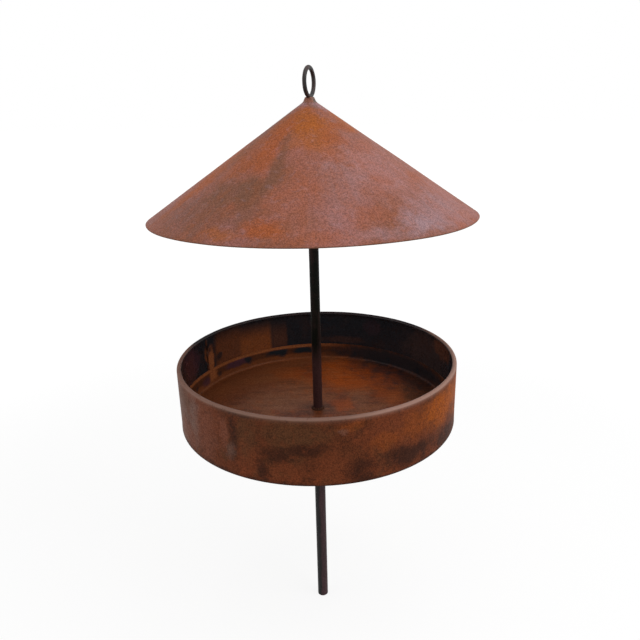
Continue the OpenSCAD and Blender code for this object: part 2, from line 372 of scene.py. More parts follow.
def cone_height(size, radius):
    """Height of the outer face of the roof's cone at a distance from the axis."""
    return size.roof_tip - radius * size.roof_rise / size.roof_radius


def cone_underside(size, radius):
    """Height of the inner face of the roof's cone at a distance from the axis."""
    return cone_height(size, radius) - size.roof_sheet / math.cos(cone_slope(size))


def lap_share(size, angles, radius):
    """Height of the roof's outer layer above the cone, as a share of the sheet. The layer's top is a flat
    that touches the cone at the lap's root and rises over it to the free edge, where it bends smoothly
    into one full sheet."""
    slope = size.roof_rise / size.roof_radius
    past_edge = (angles - size.roof_seam) % (2 * np.pi)
    inside = past_edge < size.roof_lap
    to_root = np.where(inside, size.roof_lap - past_edge, 0)
    rise = slope * radius[None, :] * (1 - np.cos(to_root))[:, None] * math.cos(cone_slope(size))
    share = rise / size.roof_sheet
    tightness = 12
    share = 1 - np.log1p(np.exp(tightness * (1 - share))) / tightness
    flat = 1 - math.log1p(math.exp(tightness)) / tightness
    share = np.clip((share - flat) / (1 - flat), 0, 1)
    return share * ease(radius, 9 * MM, 14 * MM) * inside[:, None]


def roof_sheet_grid(size):
    """Cone of sheet with a lapped seam. Its section runs out along the underside, round the cut edge at the
    rim and back along the top. Each point is a distance down the slope plus a distance off the outer
    face, and the whole sheet waves a little, as a cone rolled by hand does."""
    slope = cone_slope(size)
    seam = size.roof_seam
    cut = 0.35 * MM
    rim = size.roof_radius - 0.13 * MM
    angles = turns_with(620, seam - 6 * HAIR, seam - HAIR, seam + HAIR, seam + 6 * HAIR)
    under = size.roof_hole + (rim - size.roof_hole) * np.linspace(0, 1, 42)[:-1] ** 0.8
    over = size.roof_hole + (rim - cut - size.roof_hole) * np.linspace(1, 0, 78)
    edge = np.linspace(0, 1, 15)[1:-1]
    lap_rim = lap_share(size, angles, np.array([rim]))
    layers = edge[None, :] * (1 + lap_rim)
    lower = np.abs(2 * layers - 1)
    upper = np.abs(2 * (layers - 1) / np.maximum(lap_rim, 0.02) - 1)
    bulge = np.where(layers <= 1, lower, upper).clip(0, 1)
    columns = np.ones((len(angles), 1))
    radius = np.concatenate([columns * under, rim - cut * (1 - np.sqrt(1 - bulge**4)), columns * over], 1)
    off = np.concatenate([-columns * np.ones_like(under), layers - 1, lap_share(size, angles, over)], 1)
    height = cone_height(size, radius)
    wave = uneven(round_axis(angles, radius, height), (0.20, 95, 3), (0.05, 31, 4))
    off = off * size.roof_sheet + wave * ease(radius, 12 * MM, 60 * MM)
    radius = radius + off * math.sin(slope)
    height = height + off * math.cos(slope)
    rows = np.arange(radius.shape[1])
    rim_row = len(under)
    beneath = 1 - ease(rows, rim_row - 1, rim_row + 4)
    at_rim = 1 - ease(np.abs(rows - rim_row - 6), 5, 9)
    past = np.abs(between(angles, seam))[:, None] * radius
    at_seam = (1 - ease(past, 0.4 * MM, 1.6 * MM)) * (rows > rim_row + 1)
    # beneath marks the roof's underside, which the finish darkens with painted shade.
    marks = {"beneath": beneath[None, :], "edge": np.maximum(at_rim, at_seam)}
    return round_axis(angles, radius, height), marks


def bead_grid(centre, along, normal, half_width, rise, seed):
    """Short run of weld. Its width follows a flattened ellipse from end to end, its section is a half oval
    above the sheet and a shallow one below, and crescents cross it where each drop of metal froze."""
    side = np.cross(normal, along)
    share = np.sin(np.linspace(-np.pi / 2, np.pi / 2, 34))[None, :]
    angle = evenly(28)[:, None]
    width = np.sqrt(np.clip(1 - np.abs(share) ** 3.2, 0, 1))
    drops = np.cos(2 * np.pi * (2.6 * share + 0.35 * np.sin(angle) + 0.1 * seed))
    swell = 1 + 0.07 * drops
    across = half_width * width * np.cos(angle) * swell
    up = rise * width * np.where(np.sin(angle) > 0, np.sin(angle) * swell, 0.35 * np.sin(angle))
    ahead = share * TACK_LENGTH / 2 * np.ones_like(angle)
    grid = np.asarray(centre) + ahead[..., None] * along + across[..., None] * side + up[..., None] * normal
    return grid + uneven(grid, (0.05, 2.2, seed))[..., None] * normal


def roof_tack_grids(size):
    """Tacks along the straight free edge of the roof's lap."""
    slope = cone_slope(size)
    out = facing(size.roof_seam)
    along = out * math.cos(slope) - UPWARD * math.sin(slope)
    normal = out * math.sin(slope) + UPWARD * math.cos(slope)
    aside = np.cross(along, normal)
    grids = []
    for number, radius in enumerate(np.linspace(0.25, 0.9, 5) * size.roof_radius):
        centre = out * radius + UPWARD * cone_height(size, radius) + aside * 0.2 * MM
        grids.append(bead_grid(centre, along, normal, 1.55 * MM, 1.5 * MM, 20 + number))
    return grids


def ring_underside(size, grid):
    """Height of the underside of the ring's wire over each point, or far above where there is no wire."""
    half = np.clip(size.ring_wire**2 - grid[..., 0] ** 2, 0, None)
    outer = size.ring_radius + np.sqrt(half)
    middle = size.ring_bottom + size.ring_radius + size.ring_wire
    reach = np.clip(outer**2 - grid[..., 1] ** 2, 0, None)
    return np.where(half > 0, middle - np.sqrt(reach), 1.0)


def tip_weld_grid(size):
    """Mound of weld over the roof's tip. Its section runs in a hollow curve from the foot on the cone to a
    narrow top, and closes under the ring's wire, which lies in it. Ripples run round it."""
    foot = (size.tip_weld, cone_height(size, size.tip_weld) - 0.15 * MM)
    top = (4.25 * MM, size.ring_bottom + 1.5 * MM)
    base = cone_height(size, size.roof_hole)
    profile, parts = joined(
        line((0, base + 0.4 * MM), (size.stub_radius, base + 0.4 * MM), 6),
        line((size.stub_radius + 0.04 * MM, base - 0.3 * MM), (foot[0] - 0.2 * MM, foot[1] - 0.1 * MM), 8),
        line(foot, top, 34),
        line((top[0] - 0.25 * MM, top[1] + 0.02 * MM), (0, top[1] - 0.1 * MM), 22),
    )
    first, last = parts[2:4]
    hollow = 0.55 * MM * np.sin(np.linspace(0, np.pi, last - first))
    profile[first:last, 0] -= hollow * 0.53
    profile[first:last, 1] -= hollow * 0.85
    angles = evenly(144)
    grid = lathe(profile, angles)
    rows = np.arange(len(profile))
    face = ease(rows, first, first + 6) * (1 - ease(rows, last + 4, last + 18))
    lean = 0.18 * (rows[None, :] - first)
    run = np.cos(angles[:, None] * 11 + lean + 0.6 * np.sin(3 * angles)[:, None])
    grid = spin_out(grid, (0.14 * MM * run + uneven(grid, (0.16, 5, 8)) - 0.05 * MM) * face)
    grid[..., 2] += uneven(grid, (0.10, 4, 9)) * face
    limit = ring_underside(size, grid) - 0.03 * MM
    grid[..., 2] = np.where(rows > last - 8, np.minimum(grid[..., 2], limit), grid[..., 2])
    return grid


def ring_grid(size):
    """Hanging ring: a round wire carried round an upright circle, a little uneven from the forge."""
    angles = evenly(144)
    steps = 40
    profile = arc((size.ring_radius, 0), size.ring_wire, 0, 360 - 2.5, steps)
    grid = lathe(profile, angles)
    core = lathe(np.tile([[size.ring_radius, 0.0]], (steps, 1)), angles)
    out = (grid - core) / size.ring_wire
    grid = grid + out * (uneven(grid, (0.05, 9, 11)) - 0.05 * MM)[..., None]
    upright = grid[..., [2, 0, 1]]
    upright[..., 2] += size.ring_bottom + size.ring_radius + size.ring_wire
    return upright


def weld_collar_grid(profile, first, last, ripples, seed):
    """Weld run round the bar: its section is carried round the axis, and its free face, from the first row
    to the last, swells in even ripples that lean along the run."""
    swell = 0.16 * MM
    angles = evenly(120)
    grid = lathe(profile, angles)
    rows = np.arange(len(profile))
    free = ((rows >= first) & (rows < last)).astype(float)
    free = np.convolve(free, [0.25, 0.5, 0.25], "same") * (free > 0)
    run = np.cos(angles[:, None] * ripples + 0.35 * (rows[None, :] - first))
    bump = swell * run + 0.6 * swell * waves(grid, 4 * MM, seed) - 0.8 * swell
    return spin_out(grid, bump * free)


def top_weld_grid(size):
    """Weld inside the cone: its section runs down the bar from the cone, out to a foot on the cone's inner
    face, and its free face between them sags a little."""
    radius = size.bar_radius
    foot_radius = radius + 6 * MM
    foot = (foot_radius, cone_underside(size, foot_radius))
    heel = (radius, foot[1] - 3 * MM)
    top = (radius, cone_underside(size, radius) - 0.05 * MM)
    profile, parts = joined(line(top, foot, 10)[:-1], line(foot, heel, 20), line(heel, top, 8)[1:-1])
    first, last = parts[1:3]
    sag = np.sin(np.linspace(0, np.pi, last - first))
    profile[first:last, 0] -= 0.3 * MM * sag
    profile[first:last, 1] += 0.5 * MM * sag
    return weld_collar_grid(profile, first + 2, last - 2, 15, 61)


def foot_weld_grid(size):
    """Weld on the tray's floor: a quarter round in the corner between the bar and the floor."""
    radius = size.bar_radius
    floor_z = size.tray_low + size.tray_sheet
    leg = high("floor_rod_weld", 0) - radius
    profile, parts = joined(
        arc((radius, floor_z), leg, 0, 90, 22),
        line((radius, floor_z + leg * 0.9), (radius, floor_z), 6),
        line((radius + 0.2 * MM, floor_z), (radius + leg * 0.9, floor_z), 6),
    )
    return weld_collar_grid(profile, 1, parts[1] - 1, 12, 62)


def bar_grid(size):
    """Hot rolled round bar with a chamfered lower end, and a stub turned on its top that stands in the
    roof's hole. Its surface waves by a few hundredths of a millimetre."""
    radius, stub, end = size.bar_radius, size.stub_radius, size.bar_end
    shoulder = cone_underside(size, radius)
    top = cone_height(size, size.roof_hole) + 0.3 * MM
    profile, parts = joined(
        line((0, end), (radius - 1.0 * MM, end), 4),
        line((radius - 0.9 * MM, end + 0.1 * MM), (radius - 0.1 * MM, end + 0.9 * MM), 3),
        line((radius, end + 1.2 * MM), (radius, shoulder), 190),
        line((radius - 0.2 * MM, shoulder), (stub, shoulder), 3),
        line((stub, shoulder + 0.2 * MM), (stub, top), 4),
        line((stub - 0.2 * MM, top), (0, top), 4),
    )
    first, last = parts[2:4]
    grid = lathe(profile, evenly(72))
    rows = np.arange(len(profile))
    side = ease(rows, first - 1, first + 3) * (1 - ease(rows, last - 7, last - 1))
    return spin_out(grid, (uneven(grid, (0.03, 14, 15), (0.02, 5, 16)) - 0.03 * MM) * side)


def hoop_grid(size):
    """Tray's wall: a strip bent into a hoop with its top edge rolled inwards round a wire. The section
    runs up the outside, round the roll, back inside it and down the inside. Near the seam the inside
    steps in by one sheet over the lap's height, and a fine groove marks the joint on the outside."""
    radius, sheet, bead = size.tray_radius, size.tray_sheet, size.bead_radius
    roll_x, roll_z = radius - bead, size.tray_high - bead
    inner, low_z = radius - sheet, size.tray_low
    corner = 0.3 * MM
    lap_low, lap_high = size.pan_high + 0.1 * MM, roll_z - bead - 0.05 * MM
    profile, parts = joined(
        line((radius, low_z + corner), (radius, roll_z - 1.5 * MM), 26),
        arc((roll_x, roll_z), bead, 0, 287, 34),
        arc((roll_x, roll_z), bead - sheet / 2, 296, 296, 1),
        arc((roll_x, roll_z), bead - sheet, 290, 0, 20),
        line((inner, roll_z - 0.6 * MM), (inner, lap_high + 0.1 * MM), 4),
        line((inner, lap_high), (inner, lap_low), 24),
        line((inner, lap_low - 0.1 * MM), (inner, low_z + corner), 12),
        line((inner + 0.15 * MM, low_z + 0.05 * MM), (radius - 0.15 * MM, low_z + 0.05 * MM), 3),
    )
    rows = np.arange(len(profile))
    roll = parts[1]
    edge, root = size.tray_seam, size.tray_seam - size.tray_lap
    slot = 0.6 * MM / radius
    steps = [turned + way for turned in (edge, root, root + slot) for way in (-HAIR, HAIR)]
    angles = turns_with(640, *steps, root - size.tray_joggle)
    grid = lathe(profile, angles)
    before = between(edge, angles)
    double = np.where(before >= 0, 1 - np.clip((before - size.tray_lap) / size.tray_joggle, 0, 1), 0)
    lap_rows = (rows >= parts[5]) & (rows < parts[6])
    step = -sheet * double[:, None] * lap_rows
    past_root = between(angles, root)
    outside = rows < roll - 1
    groove = -0.5 * MM * ((past_root > 0) & (past_root < slot))[:, None] * outside
    wave = uneven(grid, (0.13, 80, 21), (0.04, 24, 22)) - 0.16 * MM
    grid = spin_out(grid, step + groove + wave * ease(grid[..., 2], low_z, low_z + 8 * MM))
    dent = uneven(grid, (0.10, 45, 23)) - 0.12 * MM
    grid[..., 2] += dent * ease(grid[..., 2], roll_z - 12 * MM, roll_z)
    near_groove = 1 - ease(np.abs(past_root - slot / 2) * radius, 0.5 * MM, 1.5 * MM)
    cut = np.maximum(rows >= parts[7] - 1, rows < 1).astype(float)
    at_edge = (1 - ease(np.abs(before) * inner, 0.2 * MM, 1.2 * MM))[:, None] * lap_rows
    marks = {
        "lining": ease(rows, roll + 13, roll + 21)[None, :],
        "rim": (ease(rows, roll - 2, roll + 3) * (1 - ease(rows, roll + 15, roll + 20)))[None, :],
        "edge": np.maximum(np.maximum(cut, at_edge), near_groove[:, None] * outside),
    }
    return grid, marks


def wall_tack_grids(size):
    """Tacks up the free edge of the inner layer of the tray's lap."""
    out = facing(size.tray_seam)
    foot = out * (size.tray_radius - size.tray_sheet - 0.1 * MM) + np.cross(UPWARD, out) * 0.15 * MM
    roll_low = size.tray_high - 2 * size.bead_radius
    heights = np.linspace(size.pan_high + 4.6 * MM, roll_low - 4.6 * MM, 3)
    return [
        bead_grid(foot + UPWARD * height, UPWARD, -out, 1.5 * MM, 1.4 * MM, 31 + number)
        for number, height in enumerate(heights)
    ]


def pan_grid(size):
    """Floor pan: a flat disc with a bent-up edge, spot welded to the wall. The section runs out over the
    floor, round the bend and up, then back down the outside. The floor buckles a little between the
    bar and the bend, and each spot weld is a shallow round dimple in the turned-up edge."""
    outer, sheet, bend = size.pan_radius, size.tray_sheet, size.pan_bend
    low_z, high_z = size.tray_low, size.pan_high
    bend_x, hole = outer - bend - sheet, size.bar_radius + 0.03 * MM
    profile, parts = joined(
        line((hole, low_z + sheet), (bend_x - 0.5 * MM, low_z + sheet), 60),
        arc((bend_x, low_z + sheet + bend), bend, -90, 0, 10),
        line((outer - sheet, low_z + sheet + bend + 0.5 * MM), (outer - sheet, high_z - 0.3 * MM), 14),
        arc((outer - sheet / 2, high_z - sheet / 2), sheet / 2, 150, 30, 5),
        line((outer, high_z - 0.5 * MM), (outer, low_z + sheet + bend + 0.3 * MM), 6),
        arc((bend_x, low_z + sheet + bend), bend + sheet, 0, -90, 9),
        line((bend_x - 0.5 * MM, low_z), (hole, low_z), 30),
    )
    rows = np.arange(len(profile))
    angles = evenly(560)
    grid = lathe(profile, angles)
    reach = profile[:, 0]
    flat = ease(reach, 22 * MM, 50 * MM) * (1 - ease(reach, bend_x - 25 * MM, bend_x - 4 * MM))
    level = grid.copy()
    level[..., 2] = low_z
    buckle = uneven(level, (0.45, 100, 41), (0.12, 35, 42)) + 0.25 * MM
    grid[..., 2] += buckle.clip(-0.1 * MM, None) * flat
    spots = math.radians(FIRST_SPOT_WELD) + np.arange(SPOT_WELDS) * 2 * np.pi / SPOT_WELDS
    across = np.abs(between(angles[:, None], spots)).min(1)[:, None] * (outer - sheet)
    from_spot = np.hypot(across, grid[..., 2] - (high_z - 12 * MM))
    upright = (rows >= parts[2] - 1) & (rows < parts[3])
    ridge = 0.12 * MM * np.exp(-(((from_spot - 2.9 * MM) / (0.5 * MM)) ** 2))
    dimple = (1 - ease(from_spot, 1.2 * MM, 2.4 * MM)) * 0.4 * MM - ridge
    grid = spin_out(grid, dimple * upright)
    marks = {
        "lining": (1 - ease(rows, parts[3] + 1, parts[4]))[None, :],
        "edge": (1 - ease(np.abs(rows - parts[3] - 2), 3, 5))[None, :],
        "burn": (1 - ease(from_spot, 2.0 * MM, 4.2 * MM)) * upright,
    }
    return grid, marks


def washer_grid(size):
    """Loose washer: a flat ring with a rolled-over outer edge and a punched hole."""
    low_z, high_z = low("support_washer", 2), high("support_washer", 2)
    edge, hole = 0.5 * MM, size.washer_hole
    flat = size.washer_radius - edge
    profile, _ = joined(
        line((hole + 0.3 * MM, low_z + 0.02 * MM), (flat, low_z + 0.02 * MM), 14),
        arc((flat, low_z + edge), edge, -80, 0, 5),
        arc((flat, high_z - edge), edge, 0, 80, 5),
        line((flat, high_z - 0.02 * MM), (hole + 0.3 * MM, high_z - 0.02 * MM), 14),
        line((hole, high_z - 0.3 * MM), (hole, low_z + 0.3 * MM), 6),
    )
    return lathe(profile, evenly(144))


def tube_grid(size):
    """Stake's tube, open at the top: up the outside, over a filed edge and down the bore. A faint flat runs
    down it where its weld was ground."""
    radius, bore, high_z = size.tube_radius, size.tube_bore, size.tube_high
    low_z = -size.point_depth + size.point_length
    filed = 0.3 * MM
    profile, parts = joined(
        line((radius, low_z), (radius, high_z - filed), 150),
        arc((radius - filed, high_z - filed), filed, 20, 90, 4),
        line((bore + 0.15 * MM, high_z), (bore, high_z - 0.2 * MM), 2),
        line((bore, high_z - 3 * MM), (bore, low_z), 40),
    )
    angles = evenly(72)
    grid = lathe(profile, angles)
    outside = 1 - ease(np.arange(len(profile)), parts[1] - 2, parts[1] + 1)
    ground = -0.10 * MM * np.exp(-((between(angles, GROUND_WELD) / 0.22) ** 2))
    rough = uneven(grid, (0.03, 17, 51), (0.015, 6, 52)) - 0.04 * MM
    return spin_out(grid, (rough + ground[:, None]) * outside)


def point_grid(size):
    """Stake's point: a plug that fills the tube's end, and a taper forged down to a blunt tip."""
    tip, shoulder = -size.point_depth, -size.point_depth + size.point_length
    plug, wide = size.tube_bore - 0.02 * MM, size.tube_radius
    profile, parts = joined(
        line((0, shoulder + 25 * MM), (plug - 0.5 * MM, shoulder + 25 * MM), 3),
        line((plug, shoulder + 24.5 * MM), (plug, shoulder + 0.1 * MM), 8),
        line((plug + 0.2 * MM, shoulder), (wide - 0.15 * MM, shoulder), 3),
        line((wide, shoulder - 0.3 * MM), (1.15 * MM, tip + 0.5 * MM), 60),
        line((0.8 * MM, tip + 0.05 * MM), (0, tip), 4),
    )
    first, last = parts[3:5]
    angles = evenly(64)
    grid = lathe(profile, angles)
    rows = np.arange(len(profile))
    taper = ease(rows, first, first + 10) * (1 - ease(rows, last - 6, last))
    flats = 0.09 * MM * (np.cos(4 * angles) - 1)
    return spin_out(grid, (flats[:, None] + uneven(grid, (0.09, 7, 55)) - 0.09 * MM) * taper)


# Shader node groups and finishes


COLOUR, VECTOR, VALUE = "NodeSocketColor", "NodeSocketVector", "NodeSocketFloat"


class Wiring:
    """Adds nodes to one node tree, and joins each to the sockets that it is given."""

    def __init__(self, tree):
        self.tree = tree

    def add(self, kind, sockets=None, **settings):
        """Adds a node of a kind, with settings, and with a value or a link for each named input."""
        node = self.tree.nodes.new(kind)
        for key, value in settings.items():
            setattr(node, key, value)
        for key, value in (sockets or {}).items():
            socket = node.inputs[key]
            if isinstance(value, bpy.types.NodeSocket):
                self.tree.links.new(value, socket)
            elif socket.type == "RGBA" and len(value) == 3:
                socket.default_value = (*value, 1)
            else:
                socket.default_value = value
        return node

    def math(self, operation, first, second=0.0, clamp=False):
        """One sum of two values."""
        sockets = {0: first, 1: second}
        return self.add("ShaderNodeMath", sockets, operation=operation, use_clamp=clamp).outputs[0]

    def times(self, first, second, clamp=False):
        """Product of two values."""
        return self.math("MULTIPLY", first, second, clamp)

    def vector(self, operation, first, second):
        """One sum of two vectors."""
        return self.add("ShaderNodeVectorMath", {0: first, 1: second}, operation=operation).outputs[0]

    def scaled(self, vector, amount):
        """Vector made longer by a factor."""
        sockets = {0: vector, "Scale": amount}
        return self.add("ShaderNodeVectorMath", sockets, operation="SCALE").outputs[0]

    def reach(self, vector):
        """Length of a vector."""
        return self.add("ShaderNodeVectorMath", {0: vector}, operation="LENGTH").outputs["Value"]

    def towards(self, place, direction):
        """How far a place lies from the axis, measured in one direction round it, in degrees."""
        sockets = {0: place, 1: facing(math.radians(direction))}
        return self.add("ShaderNodeVectorMath", sockets, operation="DOT_PRODUCT").outputs["Value"]

    def height(self, place):
        """Height of a place."""
        return self.add("ShaderNodeSeparateXYZ", {0: place}).outputs["Z"]

    def spread(self, value, start, end, least=0.0, most=1.0):
        """Smooth step of a value from start to end, to between two levels."""
        sockets = {"Value": value, "From Min": start, "From Max": end, "To Min": least, "To Max": most}
        return self.add("ShaderNodeMapRange", sockets, interpolation_type="SMOOTHSTEP").outputs["Result"]

    def mix(self, mask, under, over, blend="MIX"):
        """One colour laid over another through a mask. The node's sockets 6 and 7 are for colours."""
        sockets = {0: mask, 6: under, 7: over}
        return self.add("ShaderNodeMix", sockets, data_type="RGBA", blend_type=blend).outputs[2]

    def blend(self, mask, under, over):
        """One value blended into another through a mask. The node's sockets 2 and 3 are for values."""
        return self.add("ShaderNodeMix", {0: mask, 2: under, 3: over}, data_type="FLOAT").outputs[0]

    def noise(self, vector, reach, detail=3.0, rough=0.55, output=0):
        """Cloudy noise whose largest shapes are about reach across."""
        sockets = {"Vector": vector, "Scale": 1 / reach, "Detail": detail, "Roughness": rough}
        return self.add("ShaderNodeTexNoise", sockets).outputs[output]

    def group(self, name, sockets):
        """Places a shader node group."""
        return self.add("ShaderNodeGroup", sockets, node_tree=bpy.data.node_groups[name]).outputs

    def mark(self, name):
        """Value of one of the piece's own attributes."""
        return self.add("ShaderNodeAttribute", attribute_name=name).outputs["Fac"]

    def seen(self):
        """1 on rays from the camera, in reflections and through clear things, and 0 on all others."""
        path = self.add("ShaderNodeLightPath").outputs
        mirrored = self.math("MAXIMUM", path["Is Glossy Ray"], path["Is Transmission Ray"])
        return self.math("MAXIMUM", path["Is Camera Ray"], mirrored)


def new_group(name, inputs, outputs):
    """Starts a shader node group with named sockets: an input has a kind and may have a default, and an
    output has a kind. Gives its wiring, its inputs, and a function that joins a value to an output."""
    tree = bpy.data.node_groups.new(name, "ShaderNodeTree")
    for label, kind, *default in inputs:
        socket = tree.interface.new_socket(label, in_out="INPUT", socket_type=kind)
        if default:
            socket.default_value = default[0]
    for label, kind in outputs:
        tree.interface.new_socket(label, in_out="OUTPUT", socket_type=kind)
    wiring = Wiring(tree)
    result = wiring.add("NodeGroupOutput").inputs

    def give(label, value):
        tree.links.new(value, result[label])

    return wiring, wiring.add("NodeGroupInput").outputs, give


def make_spot_group():
    """Rust spot: a soft oval of one colour over another. The oval has a centre, a turn about Z and three
    half lengths. Its edge is as ragged as the place that is handed in, and frays where Break is high."""
    wiring, given, give = new_group(
        "rust_spot",
        [
            ("Under", COLOUR),
            ("Over", COLOUR),
            ("Place", VECTOR),
            ("Centre", VECTOR),
            ("Turn", VALUE, 0.0),
            ("Half Lengths", VECTOR),
            ("Softness", VALUE, 0.4),
            ("Break", VALUE, 0.0),
            ("Strength", VALUE, 1.0),
        ],
        [("Color", COLOUR), ("Mask", VALUE)],
    )
    rotation = wiring.add("ShaderNodeCombineXYZ", {"Z": given["Turn"]}).outputs[0]
    sockets = {"Vector": given["Place"], "Location": given["Centre"]}
    sockets |= {"Rotation": rotation, "Scale": given["Half Lengths"]}
    placed = wiring.add("ShaderNodeMapping", sockets, vector_type="TEXTURE").outputs[0]
    reach = wiring.math("ADD", wiring.reach(placed), given["Break"])
    outer = wiring.math("ADD", 1.0, given["Softness"])
    inner = wiring.math("SUBTRACT", 1.0, given["Softness"])
    mask = wiring.times(wiring.spread(reach, outer, inner), given["Strength"], clamp=True)
    give("Color", wiring.mix(mask, given["Under"], given["Over"]))
    give("Mask", mask)


def make_cloud_group():
    """Rust cloud: mask of ragged patches, from noise that is bent a little by itself."""
    wiring, given, give = new_group(
        "rust_cloud",
        [("Place", VECTOR), ("Scale", VALUE, 10.0), ("Start", VALUE, 0.45), ("End", VALUE, 0.6)],
        [("Mask", VALUE)],
    )
    sockets = {"Vector": given["Place"], "Scale": given["Scale"]}
    sockets |= {"Detail": 6.0, "Roughness": 0.62, "Distortion": 0.6}
    cloud = wiring.add("ShaderNodeTexNoise", sockets).outputs[0]
    give("Mask", wiring.spread(cloud, given["Start"], given["End"]))


def make_grain_group():
    """Rust grain: fine speckle of rust crystals, small pits, and their height."""
    wiring, given, give = new_group(
        "rust_grain", [("Place", VECTOR)], [("Speckle", VALUE), ("Pits", VALUE), ("Height", VALUE)]
    )
    place = given["Place"]
    fine = wiring.noise(place, 1.1 * MM, 2.0, 0.6)
    middling = wiring.noise(place, 2.4 * MM, 3.0, 0.6)
    sockets = {"Vector": place, "Scale": 1 / (2.6 * MM), "Randomness": 1.0}
    cells = wiring.add("ShaderNodeTexVoronoi", sockets).outputs["Distance"]
    few = wiring.spread(wiring.noise(place, 9 * MM, 2.0, 0.5), 0.5, 0.62)
    pits = wiring.times(wiring.spread(cells, 0.38, 0.12), few)
    speckle = wiring.math("ADD", wiring.times(fine, 0.7), wiring.times(middling, 0.3))
    give("Speckle", wiring.spread(speckle, 0.3, 0.7))
    give("Pits", pits)
    give("Height", wiring.math("SUBTRACT", speckle, wiring.times(pits, 0.35)))


def make_run_group():
    """Run marks: streaks that water leaves as it runs outwards and down from the axis. The noise reads the
    direction from the axis finely and the height coarsely, so its shapes are drawn out down the slope."""
    wiring, given, give = new_group(
        "run_marks",
        [("Place", VECTOR), ("Across", VALUE, 9.0), ("Down", VALUE, 8.0)],
        [("Mask", VALUE)],
    )
    flat = wiring.vector("MULTIPLY", given["Place"], (1, 1, 0))
    way = wiring.add("ShaderNodeVectorMath", {0: flat}, operation="NORMALIZE").outputs[0]
    down = wiring.times(wiring.height(given["Place"]), given["Down"])
    lift = wiring.add("ShaderNodeCombineXYZ", {"Z": down}).outputs[0]
    drawn = wiring.vector("ADD", wiring.scaled(way, given["Across"]), lift)
    give("Mask", wiring.spread(wiring.noise(drawn, 1.0, 4.0, 0.6), 0.44, 0.66))


def make_wear_group():
    """Worn edge: where the piece's own edge mark is high, broken up by noise."""
    wiring, given, give = new_group("worn_edge", [("Place", VECTOR), ("Edge", VALUE, 0.0)], [("Mask", VALUE)])
    broken = wiring.noise(given["Place"], 6 * MM, 4.0, 0.65)
    shift = wiring.times(wiring.math("SUBTRACT", broken, 0.5), 1.1)
    give("Mask", wiring.spread(wiring.math("ADD", given["Edge"], shift), 0.35, 0.85))


